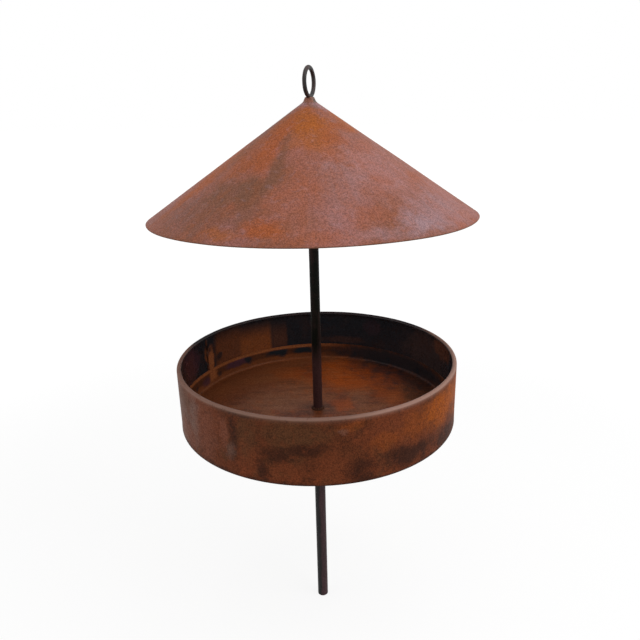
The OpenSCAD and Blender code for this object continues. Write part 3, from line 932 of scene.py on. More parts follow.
class Finish(Wiring):
    """A material under construction: its place on the piece, a colour that is built up, and a shader."""

    def __init__(self, name, colours=None):
        self.material = bpy.data.materials.new(name)
        self.material.use_nodes = True
        super().__init__(self.material.node_tree)
        self.tree.nodes.clear()
        self.place = self.add("ShaderNodeTexCoord").outputs["Object"]
        self.colours = colours
        self.colour = None

    def ragged(self, reach, amount):
        """Place with a cloudy shift, so that what reads it gets a ragged edge."""
        cloud = self.noise(self.place, reach, 5.0, 0.6, output=1)
        shift = self.vector("SUBTRACT", cloud, (0.5, 0.5, 0.5))
        return self.vector("ADD", self.place, self.scaled(shift, amount))

    def fray(self, reach, amount):
        """Value about zero that frays the edges of spots into patches about reach across."""
        cloud = self.noise(self.place, reach, 5.0, 0.7)
        return self.times(self.math("SUBTRACT", cloud, 0.5), amount)

    def cloud(self, reach, start, end):
        """Mask of ragged patches about reach across."""
        sockets = {"Place": self.place, "Scale": 1 / reach, "Start": start, "End": end}
        return self.group("rust_cloud", sockets)["Mask"]

    def runs(self, place, across, down):
        """Mask of run marks: the more across, the narrower they are, and the more down, the shorter."""
        return self.group("run_marks", {"Place": place, "Across": across, "Down": down})["Mask"]

    def worn(self):
        """Mask of the piece's worn edges."""
        return self.group("worn_edge", {"Place": self.place, "Edge": self.mark("edge")})["Mask"]

    def panel(self, place, direction, half_width, bottom, top, edge):
        """Mask of an upright panel on the tray's wall, at a direction in degrees. Its sizes are in metres:
        half its width, its lowest and highest point, and half the width that its sides fade over."""
        aside = self.math("ABSOLUTE", self.towards(place, direction + 90))
        within = self.spread(aside, half_width + edge, half_width - edge)
        above = self.spread(self.height(place), bottom - 1 * MM, bottom + 1 * MM)
        below = self.spread(self.height(place), top + 4 * MM, top - 24 * MM)
        mask = self.times(self.times(within, above), below)
        return self.times(mask, self.spread(self.towards(place, direction), 0.0, 20 * MM))

    def base(self, mask, under, over):
        """Starts the colour: one named colour over another, through a mask."""
        self.colour = self.mix(mask, getattr(self.colours, under), getattr(self.colours, over))

    def lay(self, mask, colour, strength=1.0):
        """Lays a named colour over what is there, through a mask."""
        if strength != 1.0:
            mask = self.times(mask, strength)
        self.colour = self.mix(mask, self.colour, getattr(self.colours, colour))

    def clouds(self, *layers):
        """Lays ragged patches over what is there. A layer is its reach in millimetres, the levels at which
        it starts and is full, a colour's name and a strength."""
        for reach, start, end, colour, strength in layers:
            self.lay(self.cloud(reach * MM, start, end), colour, strength)

    def spots(self, place, fray, rows, centre_of, softness):
        """Lays rust spots over what is there. A row is two measures that say where its centre is, two half
        lengths, a strength and a colour's name."""
        shared = {"Place": place, "Break": fray, "Softness": softness}
        for *where, strength, colour in rows:
            centre, spin, half = centre_of(*where)
            sockets = {"Under": self.colour, "Over": getattr(self.colours, colour), "Strength": strength}
            sockets |= {"Centre": centre, "Turn": spin, "Half Lengths": half}
            self.colour = self.group("rust_spot", shared | sockets)["Color"]

    def grain(self, colour_share, height, distance):
        """Breaks the colour up with fine speckle. Gives the grain, and the normal that it makes."""
        grain = self.group("rust_grain", {"Place": self.place})
        tone = self.spread(grain["Speckle"], 0.0, 1.0, 1 - colour_share, 1 + colour_share)
        grey = self.add("ShaderNodeCombineColor", {0: tone, 1: tone, 2: tone}).outputs[0]
        self.colour = self.mix(1.0, self.colour, grey, "MULTIPLY")
        sockets = {"Height": grain["Height"], "Strength": height, "Distance": distance}
        return grain, self.add("ShaderNodeBump", sockets).outputs[0]

    def close(self, roughness, normal, specular, coat=0.0, coat_roughness=0.2):
        """Ends in a Principled shader."""
        sockets = {"Base Color": self.colour, "Roughness": roughness, "Normal": normal}
        sockets |= {"Specular IOR Level": specular, "Coat Weight": coat, "Coat Roughness": coat_roughness}
        shader = self.add("ShaderNodeBsdfPrincipled", sockets)
        self.add("ShaderNodeOutputMaterial", {"Surface": shader.outputs[0]})


def on_roof(size):
    """Centres spots on the roof: degrees from the front, and millimetres from the axis. A spot's half
    lengths run across the slope and down it."""

    def centre_of(direction, where, across, down):
        spin = math.radians(FRONT + direction)
        reach = where * MM
        return facing(spin) * reach + UPWARD * cone_height(size, reach), spin, (down * MM, across * MM, 1.0)

    return centre_of


def on_wall(size, datum):
    """Centres spots on the tray's wall: degrees anticlockwise from a datum direction, and millimetres
    above the tray's underside. A spot's half lengths run along the wall and up it."""

    def centre_of(direction, where, along, up):
        spin = math.radians(datum + direction)
        centre = facing(spin) * size.tray_radius + UPWARD * (size.tray_low + where * MM)
        return centre, spin, (60 * MM, along * MM, up * MM)

    return centre_of


def on_floor(size):
    """Centres spots on the tray's floor: millimetres to the right and away, as the photograph shows it. A
    spot's half lengths run the same ways."""
    spin = math.radians(BACK)
    rightwards = np.cross(facing(spin), UPWARD)

    def centre_of(right, away, across, along):
        centre = rightwards * right * MM + facing(spin) * away * MM + UPWARD * size.tray_low
        return centre, spin, (along * MM, across * MM, 1.0)

    return centre_of


# Rust spots: two measures that say where the centre is, two half lengths in millimetres, a strength and a
# colour. The functions above say which way they are measured on the roof, the wall and the floor.
# The pink, mauve and lilac spots, many of them to the right, are partly rust and partly a painted sheen.
ROOF_SPOTS = (
    (60, 100, 64, 70, 0.45, "pink"),
    (4, 108, 36, 44, 0.18, "pink"),
    (0, 9, 14, 5, 0.7, "lilac"),
    (11, 13, 5, 3, 0.6, "scale"),
    (-62, 48, 15, 34, 0.6, "scale"),
    (-8, 31, 24, 13, 0.9, "ochre"),
    (8, 47, 15, 16, 0.7, "ochre"),
    (-14, 52, 12, 12, 0.5, "ochre"),
    (46, 38, 14, 5, 0.7, "orange"),
    (22, 52, 11, 6, 0.7, "orange"),
    (-40, 48, 12, 24, 0.85, "orange"),
    (-33, 74, 12, 18, 0.85, "orange"),
    (-48, 84, 13, 9, 0.6, "orange"),
    (-66, 112, 10, 30, 0.9, "orange"),
    (-27, 50, 5, 8, 0.55, "scale"),
    (-21, 64, 5, 10, 0.5, "scale"),
    (-20, 88, 7, 22, 0.7, "scale"),
    (-30, 107, 17, 13, 0.75, "scale"),
    (-43, 112, 16, 12, 0.6, "scale"),
    (-46, 134, 36, 19, 0.5, "scale"),
    (-80, 86, 20, 32, 0.6, "orange"),
    (-54, 62, 10, 18, 0.5, "orange"),
    (-24, 129, 9, 12, 0.5, "scale"),
    (-8, 105, 18, 36, 0.3, "orange"),
    (-16, 92, 10, 16, 0.35, "scale"),
    (12, 80, 9, 6, 0.35, "lilac"),
    (17, 101, 18, 17, 0.22, "lilac"),
    (9, 127, 18, 16, 0.18, "lilac"),
    (3, 122, 10, 12, 0.4, "mauve"),
    (21, 131, 13, 7, 0.35, "orange"),
    (-15, 144, 17, 7, 0.85, "orange"),
    (-30, 150, 12, 6, 0.6, "ochre"),
    (3, 151, 24, 5, 0.3, "orange"),
    (45, 85, 34, 30, 0.6, "pink"),
    (35, 99, 11, 6, 0.35, "orange"),
    (66, 104, 20, 8, 0.5, "orange"),
    (72, 122, 26, 20, 0.55, "pink"),
    (52, 137, 38, 16, 0.48, "lilac"),
    (38, 146, 16, 7, 0.4, "lilac"),
    (34, 144, 14, 9, 0.55, "lilac"),
    (20, 151, 26, 6, 0.35, "lilac"),
    (60, 148, 20, 5, 0.5, "pink"),
    (24, 112, 12, 9, 0.25, "orange"),
    (46, 62, 12, 8, 0.35, "orange"),
    (92, 30, 22, 13, 0.7, "ochre"),
    (150, 34, 26, 15, 0.8, "ochre"),
    (225, 32, 24, 14, 0.75, "ochre"),
    (108, 66, 14, 24, 0.6, "orange"),
    (128, 96, 8, 30, 0.5, "scale"),
    (140, 132, 32, 16, 0.5, "lilac"),
    (118, 134, 22, 10, 0.55, "orange"),
    (165, 82, 20, 26, 0.55, "pink"),
    (182, 118, 16, 26, 0.55, "scale"),
    (196, 90, 9, 30, 0.5, "scale"),
    (204, 136, 30, 12, 0.6, "orange"),
    (218, 98, 26, 22, 0.5, "lilac"),
    (240, 130, 26, 16, 0.6, "orange"),
    (252, 78, 14, 20, 0.5, "scale"),
    (272, 118, 22, 22, 0.5, "mauve"),
)
HOOP_SPOTS = (
    # The grey at the tray's left end is partly a painted sheen.
    (-74, 34, 38, 46, 0.85, "hoop_grey"),
    (-53, 36, 9, 24, 0.8, "hoop_grey"),
    (-62, 52, 16, 9, 0.5, "hoop_olive"),
    (-60, 16, 22, 10, 0.6, "hoop_pink"),
    (-45, 30, 14, 30, 0.7, "hoop_pink"),
    (-36, 38, 6, 15, 0.9, "hoop_pink"),
    (-31, 42, 5, 24, 0.85, "hoop_dark"),
    (-33, 22, 6, 8, 0.5, "hoop_grey"),
    (-26, 44, 9, 22, 0.65, "hoop_olive"),
    (-8, 50, 28, 12, 0.8, "hoop_olive"),
    (-28, 62, 16, 2.5, 0.8, "hoop_dark"),
    (-4, 35, 17, 6, 0.85, "hoop_dark"),
    (-14, 28, 10, 9, 0.7, "hoop_dark"),
    (-20, 11, 7, 12, 0.85, "hoop_dark"),
    (-10, 14, 14, 7, 0.8, "hoop_red"),
    (4, 19, 15, 13, 0.8, "hoop_red"),
    (14, 11, 12, 11, 0.8, "hoop_dark"),
    (34, 15, 32, 9, 0.95, "hoop_dark"),
    (58, 10, 26, 9, 0.9, "hoop_dark"),
    (28, 43, 34, 15, 0.75, "hoop_red"),
    (11, 57, 12, 4, 0.2, "hoop_orange"),
    (8, 53, 4, 3, 0.4, "hoop_grey"),
    (24, 33, 16, 8, 0.22, "hoop_orange"),
    (40, 44, 22, 14, 0.30, "hoop_orange"),
    (55, 45, 28, 17, 0.85, "hoop_orange"),
    (76, 40, 28, 24, 0.85, "hoop_orange"),
    (104, 22, 26, 18, 0.6, "hoop_dark"),
    (118, 48, 30, 12, 0.6, "hoop_olive"),
    (136, 24, 20, 14, 0.6, "hoop_orange"),
    (152, 44, 16, 16, 0.6, "hoop_dark"),
    (172, 30, 24, 24, 0.6, "hoop_pink"),
    (190, 52, 26, 8, 0.6, "hoop_orange"),
    (206, 20, 26, 12, 0.7, "hoop_dark"),
    (228, 38, 22, 22, 0.5, "hoop_olive"),
    (256, 30, 26, 26, 0.6, "hoop_pink"),
)
LINING_SPOTS = (
    (61, 31, 6, 15, 0.8, "lap_orange"),
    (64, 40, 3, 10, 0.6, "wet_brown"),
    (54, 30, 5, 5, 0.8, "wet_black"),
    (77, 44, 19, 17, 0.6, "violet"),
    (80, 34, 16, 22, 0.25, "hoop_red"),
    (-14, 27, 26, 5, 0.12, "wet_brown"),
    (-30, 48, 12, 10, 0.2, "violet"),
    (-78, 52, 22, 12, 0.4, "wet_brown"),
    # Faint painted sheen in grey on the inside of the wall to the right.
    (-66, 36, 44, 26, 0.2, "hoop_grey"),
)
FLOOR_SPOTS = (
    (-88, 100, 34, 18, 0.6, "hoop_red"),
    (-102, 44, 30, 14, 0.5, "hoop_red"),
    (-45, 15, 44, 22, 0.6, "floor_pale"),
    (-50, 48, 30, 12, 0.35, "floor_pale"),
    (44, 22, 14, 24, 0.35, "floor_pale"),
    (-36, 96, 24, 20, 0.7, "floor_orange"),
    (28, 118, 30, 16, 0.7, "floor_orange"),
    (56, 78, 56, 32, 0.95, "floor_orange"),
    (84, 40, 20, 30, 0.6, "floor_orange"),
    (25, 4, 10, 16, 0.7, "floor_orange"),
    (-104, 74, 14, 9, 0.85, "floor_dark"),
    (-72, 84, 18, 5, 0.7, "floor_dark"),
    # The floor_dark spots from 108 to 138 mm to the right, here and below, are a painted shadow of the right
    # wall.
    (116, 22, 14, 30, 0.55, "floor_dark"),
    (0, -2, 15, 12, 0.55, "floor_dark"),
    (138, 66, 30, 56, 0.5, "floor_dark"),
    (108, 122, 32, 18, 0.65, "floor_dark"),
)
FLANGE_SPOTS = (
    (20, 14, 15, 5, 1.0, "wet_black"),
    (7, 13.5, 13, 5, 1.0, "wet_black"),
    (44, 13.5, 20, 5, 0.95, "violet"),
    (37, 14, 5, 4, 0.9, "wet_black"),
    (60, 12, 7, 6, 0.8, "lap_orange"),
    (66, 9, 9, 4, 0.8, "violet"),
    # These two rows to the right are painted shade: the right of the pan's edge and its bend lie in the
    # wall's shadow.
    (-45, 11, 95, 11, 0.85, "wet_black"),
    (-50, 2, 80, 4, 0.3, "wet_black"),
)
# Painted reflections: brown panels on the inside of the wall, in place of the blurred reflections that it
# shows.
# Direction leftwards from the back in degrees, then in millimetres half the width, the lowest and highest
# point above the tray's underside and how soft the sides are, and the strength
LINING_REFLECTION_PANELS = (
    (32.5, 22, 19, 58, 3.5, 1.0),
    (19, 9.5, 22, 57, 2.0, 0.3),
    (49, 20, 20, 66, 5.0, 0.6),
)


def make_roof_finish(size, colours):
    """Roof: dry matt rust, ochre under the tip, mauve and pink to the right and darker to the left, drawn
    out down the slope by rain, with a thin worn edge. The mauve, pink and lilac are partly rust and partly
    a painted sheen, strongest on the right. The underside is darker, with painted shade."""
    coat = Finish("dry_roof_rust", colours)
    # Mauve here, and pink and lilac below, carry a painted sheen as well as rust colour.
    coat.base(coat.cloud(120 * MM, 0.42, 0.62), "brown", "mauve")
    coat.clouds((45, 0.52, 0.66, "orange", 0.35), (28, 0.56, 0.68, "scale", 0.18))
    coat.spots(coat.ragged(36 * MM, 26 * MM), coat.fray(11 * MM, 1.6), ROOF_SPOTS, on_roof(size), 0.6)
    coat.clouds((9, 0.50, 0.64, "orange", 0.20), (7, 0.54, 0.66, "lilac", 0.16))
    coat.lay(coat.runs(coat.place, 9.0, 9.0), "orange", 0.22)
    coat.lay(coat.runs(coat.vector("ADD", coat.place, (0.4, 0.1, 3.0)), 13.0, 8.0), "scale", 0.12)
    # Painted shade on the roof's underside.
    coat.lay(coat.mark("beneath"), "shade", 0.85)
    grain, normal = coat.grain(0.30, 0.35, 0.5 * MM)
    coat.lay(grain["Pits"], "scale", 0.35)
    coat.lay(coat.worn(), "scale", 0.65)
    coat.close(coat.spread(grain["Speckle"], 0.0, 1.0, 0.72, 0.58), normal, 0.16)


def make_weld_finish(name, colours, base, rust, specular):
    """Weld metal: dull scale with rust in its hollows."""
    coat = Finish(name, colours)
    coat.base(coat.cloud(9 * MM, 0.40, 0.60), base, rust)
    coat.clouds((4, 0.55, 0.66, "scale", 0.5))
    grain, normal = coat.grain(0.22, 0.30, 0.35 * MM)
    coat.close(coat.spread(grain["Speckle"], 0.0, 1.0, 0.62, 0.42), normal, specular)


def make_bar_finish(name, colours, base, rust, amount, specular, rusts_below=None, rusts_towards=None):
    """Bar, wire and tube: smooth dark scale with thin rust blooming through, streaked down its length. Below
    a height the rust takes over, where the bar stands in the wet tray. It also gathers on the side that
    looks towards a direction."""
    coat = Finish(name, colours)
    streak = coat.noise(coat.vector("MULTIPLY", coat.place, (1, 1, 0.18)), 7 * MM, 4.0, 0.6)
    coat.base(coat.times(coat.spread(streak, 0.42, 0.62), amount), base, rust)
    coat.clouds((16, 0.52, 0.64, rust, 0.6 * amount))
    if rusts_towards is not None:
        ahead = coat.towards(coat.ragged(25 * MM, 3 * MM), rusts_towards)
        coat.lay(coat.spread(ahead, 0.5 * MM, -1.5 * MM), base, 0.8)
        coat.lay(coat.spread(ahead, -0.5 * MM, 1.5 * MM), rust, 0.6)
    if rusts_below is not None:
        height = coat.height(coat.ragged(30 * MM, 30 * MM))
        coat.lay(coat.spread(height, rusts_below + 15 * MM, rusts_below - 15 * MM), rust, 0.75)
    grain, normal = coat.grain(0.18, 0.22, 0.25 * MM)
    coat.close(coat.spread(grain["Speckle"], 0.0, 1.0, 0.55, 0.38), normal, specular)


def make_hoop_finish(size, colours):
    """Tray's wall: rust in many browns outside, with a painted grey sheen at its left end, and dark glossy
    scale with a few rusted places inside, where brown panels are painted reflections. The bead round the
    rim is worn and lighter at the front, partly with a painted highlight that is strongest on the right, and
    its back is painted black as shade."""
    coat = Finish("tray_wall_rust", colours)
    radius, low_z = size.tray_radius, size.tray_low
    coat.base(coat.cloud(60 * MM, 0.40, 0.62), "hoop", "hoop_red")
    coat.clouds((30, 0.50, 0.66, "hoop_olive", 0.6), (22, 0.54, 0.68, "hoop_dark", 0.6))
    ragged = coat.ragged(28 * MM, 20 * MM)
    fray = coat.fray(9 * MM, 1.5)
    coat.spots(ragged, fray, HOOP_SPOTS, on_wall(size, FRONT), 0.55)
    coat.clouds((8, 0.52, 0.64, "hoop_red", 0.35), (6, 0.54, 0.66, "hoop_dark", 0.35))
    coat.lay(coat.spread(coat.height(ragged), low_z + 5 * MM, low_z - 1 * MM), "hoop_dark", 0.8)
    outside = coat.colour
    coat.base(coat.times(coat.cloud(35 * MM, 0.50, 0.70), 0.2), "wet_black", "floor_dark")
    place = coat.ragged(12 * MM, 5 * MM)
    # Painted reflections in lining brown.
    for direction, half_width, bottom, top, edge, strength in LINING_REFLECTION_PANELS:
        bottom, top = low_z + bottom * MM, low_z + top * MM
        mask = coat.panel(place, BACK + direction, half_width * MM, bottom, top, edge * MM)
        coat.lay(mask, "wet_brown", strength)
    coat.spots(ragged, fray, LINING_SPOTS, on_wall(size, BACK), 0.35)
    lining = coat.mark("lining")
    coat.colour = coat.mix(lining, outside, coat.colour)
    grain, normal = coat.grain(0.34, 0.30, 0.4 * MM)
    place = coat.ragged(20 * MM, 20 * MM)
    # worn is high round the front of the rim and falls off at the back. The back of the rim, in the roof's
    # shade, is painted black as shade, and the front gets a lighter rim colour that is partly wear and partly
    # a painted highlight.
    worn = coat.spread(coat.towards(place, FRONT + 7), -0.42 * radius, -0.20 * radius)
    coat.lay(coat.times(coat.mark("rim"), coat.math("SUBTRACT", 1.0, worn)), "wet_black", 0.85)
    rim = coat.times(coat.mark("rim"), worn)
    coat.lay(coat.times(rim, coat.cloud(14 * MM, 0.10, 0.42)), "rim", 0.9)
    # Painted highlight on the right of the rim, where the key lamp falls.
    aside = coat.towards(place, FRONT + 55)
    coat.lay(coat.times(rim, coat.spread(aside, 0.66 * radius, 0.92 * radius)), "rim_pale_highlight", 0.6)
    coat.lay(coat.times(rim, coat.spread(aside, -0.30 * radius, -0.80 * radius)), "hoop_pink", 0.4)
    coat.lay(grain["Pits"], "hoop_dark", 0.4)
    coat.lay(coat.worn(), "hoop_dark", 0.7)
    dry = coat.spread(grain["Speckle"], 0.0, 1.0, 0.70, 0.55)
    wet = coat.spread(coat.noise(coat.place, 12 * MM), 0.35, 0.65, 0.22, 0.42)
    coat.close(coat.blend(lining, dry, wet), normal, 0.08, coat.times(lining, 0.40), 0.12)


def make_floor_finish(size, colours):
    """Floor pan: satin rust, swept by water and seed into streaks, orange towards the back right, dark along
    the edge, and dark along the right with a painted shadow of the wall. The lip has a painted highlight on
    the left, and a burnt ring lies round each spot weld."""
    coat = Finish("tray_floor_rust", colours)
    radius, low_z, high_z = size.pan_radius, size.tray_low, size.pan_high
    coat.base(coat.cloud(70 * MM, 0.42, 0.62), "floor", "hoop_red")
    coat.clouds((24, 0.54, 0.68, "floor_dark", 0.35))
    fray = coat.fray(10 * MM, 1.5)
    coat.spots(coat.ragged(40 * MM, 34 * MM), fray, FLOOR_SPOTS, on_floor(size), 0.5)
    coat.clouds((8, 0.50, 0.64, "floor_orange", 0.25))
    right = coat.times(coat.towards(coat.place, BACK - 90), 0.12)
    away = coat.towards(coat.ragged(60 * MM, 16 * MM), BACK)
    drawn = coat.add("ShaderNodeCombineXYZ", {"X": right, "Y": away}).outputs[0]
    swept = coat.noise(drawn, 6 * MM, 4.0, 0.65)
    coat.lay(coat.spread(swept, 0.50, 0.66), "floor_pale", 0.35)
    coat.lay(coat.spread(swept, 0.48, 0.34), "floor_dark", 0.45)
    height = coat.height(coat.place)
    coat.lay(coat.spread(height, low_z + 1.6 * MM, low_z + 6 * MM), "floor_dark", 0.75)
    leftwards = coat.towards(coat.ragged(20 * MM, 12 * MM), BACK + 45)
    at_left = coat.spread(leftwards, 0.45 * radius, 0.85 * radius)
    coat.lay(coat.times(coat.spread(height, low_z + 11 * MM, low_z + 7 * MM), at_left), "floor", 0.8)
    coat.spots(coat.ragged(14 * MM, 9 * MM), fray, FLANGE_SPOTS, on_wall(size, BACK), 0.4)
    # The lip's bright line is a painted highlight in lap orange, strong on the left where the light falls and
    # faint on the right.
    lip = coat.spread(height, high_z - 5.0 * MM, high_z - 2.6 * MM)
    lit = coat.spread(leftwards, 0.45 * radius, 0.85 * radius, 0.02, 0.85)
    coat.lay(coat.times(lip, lit), "lap_orange")
    coat.lay(coat.mark("burn"), "wet_black", 0.6)
    grain, normal = coat.grain(0.28, 0.25, 0.35 * MM)
    coat.lay(coat.math("SUBTRACT", 1.0, coat.mark("lining")), "hoop", 0.8)
    # The worn edge is lighter on the left: partly wear and partly a painted highlight.
    coat.lay(coat.times(coat.worn(), lit), "floor", 0.6)
    coat.close(coat.spread(grain["Speckle"], 0.0, 1.0, 0.58, 0.40), normal, 0.14, 0.04, 0.25)


# Operators


class FeederOperator:
    """What every step of the build has."""

    bl_options = {"REGISTER", "UNDO"}


class FEEDER_OT_finishes(FeederOperator, bpy.types.Operator):
    """Makes the shader node groups and the finishes"""

    bl_idname = "feeder.finishes"
    bl_label = "Finishes"

    def execute(self, context):
        size, colours = context.scene.feeder_sizes, context.scene.feeder_colours
        for make in (make_spot_group, make_cloud_group, make_grain_group, make_run_group, make_wear_group):
            make()
        for make in (make_roof_finish, make_hoop_finish, make_floor_finish):
            make(size, colours)
        make_weld_finish("grey_weld", colours, "weld", "brown", 0.35)
        make_weld_finish("dark_weld", colours, "hoop", "hoop_dark", 0.35)
        make_weld_finish("foot_weld", colours, "floor_dark", "hoop_dark", 0.12)
        make_bar_finish("bar_scale", colours, "bar", "bar_rust", 0.25, 0.06, rusts_below=size.tray_high)
        make_bar_finish("ring_scale", colours, "ring", "ring_rust", 0.5, 0.30)
        make_bar_finish("tube_scale", colours, "tube", "tube_rust", 0.8, 0.08, rusts_towards=FRONT + 80)
        return {"FINISHED"}


class FEEDER_OT_roof(FeederOperator, bpy.types.Operator):
    """Makes the cone roof of sheet, and the tacks along its seam"""

    bl_idname = "feeder.roof"
    bl_label = "Roof"

    def execute(self, context):
        size = context.scene.feeder_sizes
        grid, marks = roof_sheet_grid(size)
        piece("roof_sheet", grid, "head", ["roof_cone"], "roof_rust", "dry_roof_rust", **marks)
        grids = roof_tack_grids(size)
        piece("roof_tacks", grids, "head", ["roof_seam_weld"], "roof_rust", "grey_weld", poles=True)
        return {"FINISHED"}


class FEEDER_OT_tip(FeederOperator, bpy.types.Operator):
    """Makes the hanging ring and the mound of weld that holds it"""

    bl_idname = "feeder.tip"
    bl_label = "Ring and tip weld"

    def execute(self, context):
        size = context.scene.feeder_sizes
        grid = tip_weld_grid(size)
        piece("tip_mound", grid, "head", ["tip_weld"], "roof_rust", "grey_weld", poles=True, bend=60)
        piece("ring", ring_grid(size), "head", ["hanging_ring"], "ring_steel", "ring_scale")
        return {"FINISHED"}


class FEEDER_OT_bar(FeederOperator, bpy.types.Operator):
    """Makes the centre bar and the welds that hold the roof and the tray to it"""

    bl_idname = "feeder.bar"
    bl_label = "Bar and its welds"

    def execute(self, context):
        size = context.scene.feeder_sizes
        piece("bar", bar_grid(size), "head", ["centre_rod"], "rod_rust", "bar_scale", poles=True)
        grid = top_weld_grid(size)
        piece("bar_top_weld", grid, "head", ["roof_rod_weld"], "rod_rust", "dark_weld", bend=60)
        grid = foot_weld_grid(size)
        piece("bar_foot_weld", grid, "head", ["floor_rod_weld"], "floor_rust", "foot_weld", bend=60)
        return {"FINISHED"}


class FEEDER_OT_tray(FeederOperator, bpy.types.Operator):
    """Makes the tray's wall with its rolled rim, the tacks of its seam, and the wire's finish"""

    bl_idname = "feeder.tray"
    bl_label = "Tray wall"

    def execute(self, context):
        size = context.scene.feeder_sizes
        grid, marks = hoop_grid(size)
        piece("tray_hoop", grid, "head", ["tray_wall"], "tray_rust", "tray_wall_rust", **marks)
        grids = wall_tack_grids(size)
        piece("hoop_tacks", grids, "head", ["wall_seam_weld"], "tray_rust", "dark_weld", poles=True)
        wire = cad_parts["rim_wire"]
        wire.data.materials.clear()
        wire.data.materials.append(bpy.data.materials["bar_scale"])
        return {"FINISHED"}


class FEEDER_OT_floor_pan(FeederOperator, bpy.types.Operator):
    """Makes the tray's floor pan"""

    bl_idname = "feeder.floor_pan"
    bl_label = "Floor pan"

    def execute(self, context):
        grid, marks = pan_grid(context.scene.feeder_sizes)
        piece("floor_pan", grid, "head", ["tray_floor"], "floor_rust", "tray_floor_rust", **marks)
        return {"FINISHED"}


class FEEDER_OT_stake(FeederOperator, bpy.types.Operator):
    """Makes the loose washer, the stake's tube and its point"""

    bl_idname = "feeder.stake"
    bl_label = "Stake"

    def execute(self, context):
        size = context.scene.feeder_sizes
        piece("loose_washer", washer_grid(size), "washer", ["support_washer"], "stake_steel", "tube_scale")
        piece("stake_pipe", tube_grid(size), "stake", ["stake_tube"], "stake_steel", "tube_scale")
        grid = point_grid(size)
        piece("stake_spike", grid, "stake", ["stake_point"], "stake_steel", "tube_scale", poles=True)
        return {"FINISHED"}


class FEEDER_OT_stage(FeederOperator, bpy.types.Operator):
    """Makes the floor, the lamps, the world and the camera"""

    bl_idname = "feeder.stage"
    bl_label = "Stage"

    def execute(self, context):
        context.scene.view_settings.view_transform = "Standard"
        make_ground()
        make_world()
        for lamp in LAMPS:
            make_lamp(*lamp)
        make_camera()
        return {"FINISHED"}


def make_ground():
    """Pale floor at ground level, which keeps some of the object's shadow. The camera and reflections see
    it close to white, and white further out. It is clear from below, so that the buried stake shows."""
    mesh = bpy.data.meshes.new("ground")
    half = GROUND_SIDE / 2
    corners = [(-half, -half, 0), (half, -half, 0), (half, half, 0), (-half, half, 0)]
    mesh.from_pydata(corners, [], [(0, 1, 2, 3)])
    ground = add_object("ground", mesh)
    coat = Finish("ground_white")
    matt = coat.add("ShaderNodeBsdfDiffuse", {"Color": (0.80, 0.80, 0.80)})
    bright = coat.add("ShaderNodeEmission", {"Color": (1.0, 1.0, 1.0), "Strength": 1.07})
    share = coat.times(coat.seen(), coat.spread(coat.reach(coat.place), 0.5, 1.5, 0.80, 1.0))
    pale = coat.add("ShaderNodeMixShader", {0: share, 1: matt.outputs[0], 2: bright.outputs[0]})
    clear = coat.add("ShaderNodeBsdfTransparent", {"Color": (1.0, 1.0, 1.0)})
    behind = coat.add("ShaderNodeNewGeometry").outputs["Backfacing"]
    both = coat.add("ShaderNodeMixShader", {0: behind, 1: pale.outputs[0], 2: clear.outputs[0]})
    coat.add("ShaderNodeOutputMaterial", {"Surface": both.outputs[0]})
    mesh.materials.append(coat.material)


def make_world():
    """Even daylight from all round. The camera and reflections see it white."""
    world = bpy.data.worlds.new("daylight")
    bpy.context.scene.world = world
    world.use_nodes = True
    wiring = Wiring(world.node_tree)
    wiring.tree.nodes.clear()
    strength = wiring.blend(wiring.seen(), 0.50, 1.0)
    light = wiring.add("ShaderNodeBackground", {"Color": (1.0, 1.0, 1.0), "Strength": strength})
    wiring.add("ShaderNodeOutputWorld", {"Surface": light.outputs[0]})


def make_lamp(name, direction, elevation, distance, side, power):
    """Square lamp that faces the tray, at a direction from the photograph's viewpoint and an elevation, in
    degrees. Its distance and side are in metres, and its power in watts."""
    turned, raised = math.radians(FRONT + direction), math.radians(elevation)
    away = Vector(facing(turned) * math.cos(raised) + UPWARD * math.sin(raised))
    data = bpy.data.lights.new(name, "AREA")
    data.size = side
    data.energy = power
    place = Matrix.Translation(Vector((0, 0, high("tray_wall", 2))) + away * distance)
    add_object(name, data).matrix_world = place @ away.to_track_quat("Z", "Y").to_matrix().to_4x4()


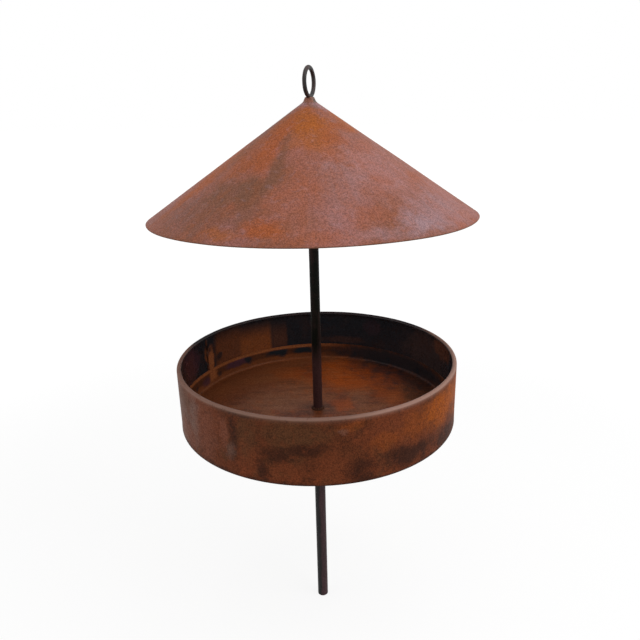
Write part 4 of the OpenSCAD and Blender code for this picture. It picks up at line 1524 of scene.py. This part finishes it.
def make_camera():
    """Camera at the photograph's viewpoint. Its place, tilt, turn, roll and lens were measured from the
    outlines in the photograph."""
    distance, height = 588.9 * MM, high("tray_wall", 2) + 238.25 * MM
    pitch, yaw, roll = 0.32899, 0.00772, -0.02498
    ahead = Vector((math.sin(yaw) * math.cos(pitch), math.cos(yaw) * math.cos(pitch), -math.sin(pitch)))
    level = Vector((math.cos(yaw), -math.sin(yaw), 0))
    upward = level.cross(ahead)
    right = level * math.cos(roll) + upward * math.sin(roll)
    up = upward * math.cos(roll) - level * math.sin(roll)
    axes = Matrix((right, up, -ahead)).transposed().to_4x4()
    turned = Matrix.Rotation(math.radians(FRONT + 90), 4, "Z")
    data = bpy.data.cameras.new("camera")
    data.sensor_width = 36
    data.lens = 33.75
    data.clip_start = 0.01
    camera = add_object("camera", data)
    camera.matrix_world = turned @ Matrix.Translation((0, -distance, height)) @ axes
    bpy.context.scene.camera = camera


class FEEDER_PT_panel(bpy.types.Panel):
    """Feeder's sizes, colours and steps, in the 3D view's sidebar"""

    bl_idname = "FEEDER_PT_panel"
    bl_label = "Bird feeder"
    bl_space_type = "VIEW_3D"
    bl_region_type = "UI"
    bl_category = "Feeder"

    def draw(self, context):
        for step in STEPS:
            self.layout.operator(step.bl_idname)
        for group in (context.scene.feeder_sizes, context.scene.feeder_colours):
            column = self.layout.column()
            for name in group.__annotations__:
                column.prop(group, name)


STEPS = (
    FEEDER_OT_finishes,
    FEEDER_OT_roof,
    FEEDER_OT_tip,
    FEEDER_OT_bar,
    FEEDER_OT_tray,
    FEEDER_OT_floor_pan,
    FEEDER_OT_stake,
    FEEDER_OT_stage,
)
CLASSES = (FeederSizes, FeederColours, *STEPS, FEEDER_PT_panel)


def register():
    """Makes the properties, the steps and the panel known to Blender."""
    for each in CLASSES:
        bpy.utils.register_class(each)
    bpy.types.Scene.feeder_sizes = bpy.props.PointerProperty(type=FeederSizes)
    bpy.types.Scene.feeder_colours = bpy.props.PointerProperty(type=FeederColours)


def unregister():
    """Takes them out again."""
    del bpy.types.Scene.feeder_colours
    del bpy.types.Scene.feeder_sizes
    for each in reversed(CLASSES):
        bpy.utils.unregister_class(each)


def main():
    register()
    for step in STEPS:
        group, name = step.bl_idname.split(".")
        getattr(getattr(bpy.ops, group), name)()


if __name__ == "__main__":
    main()
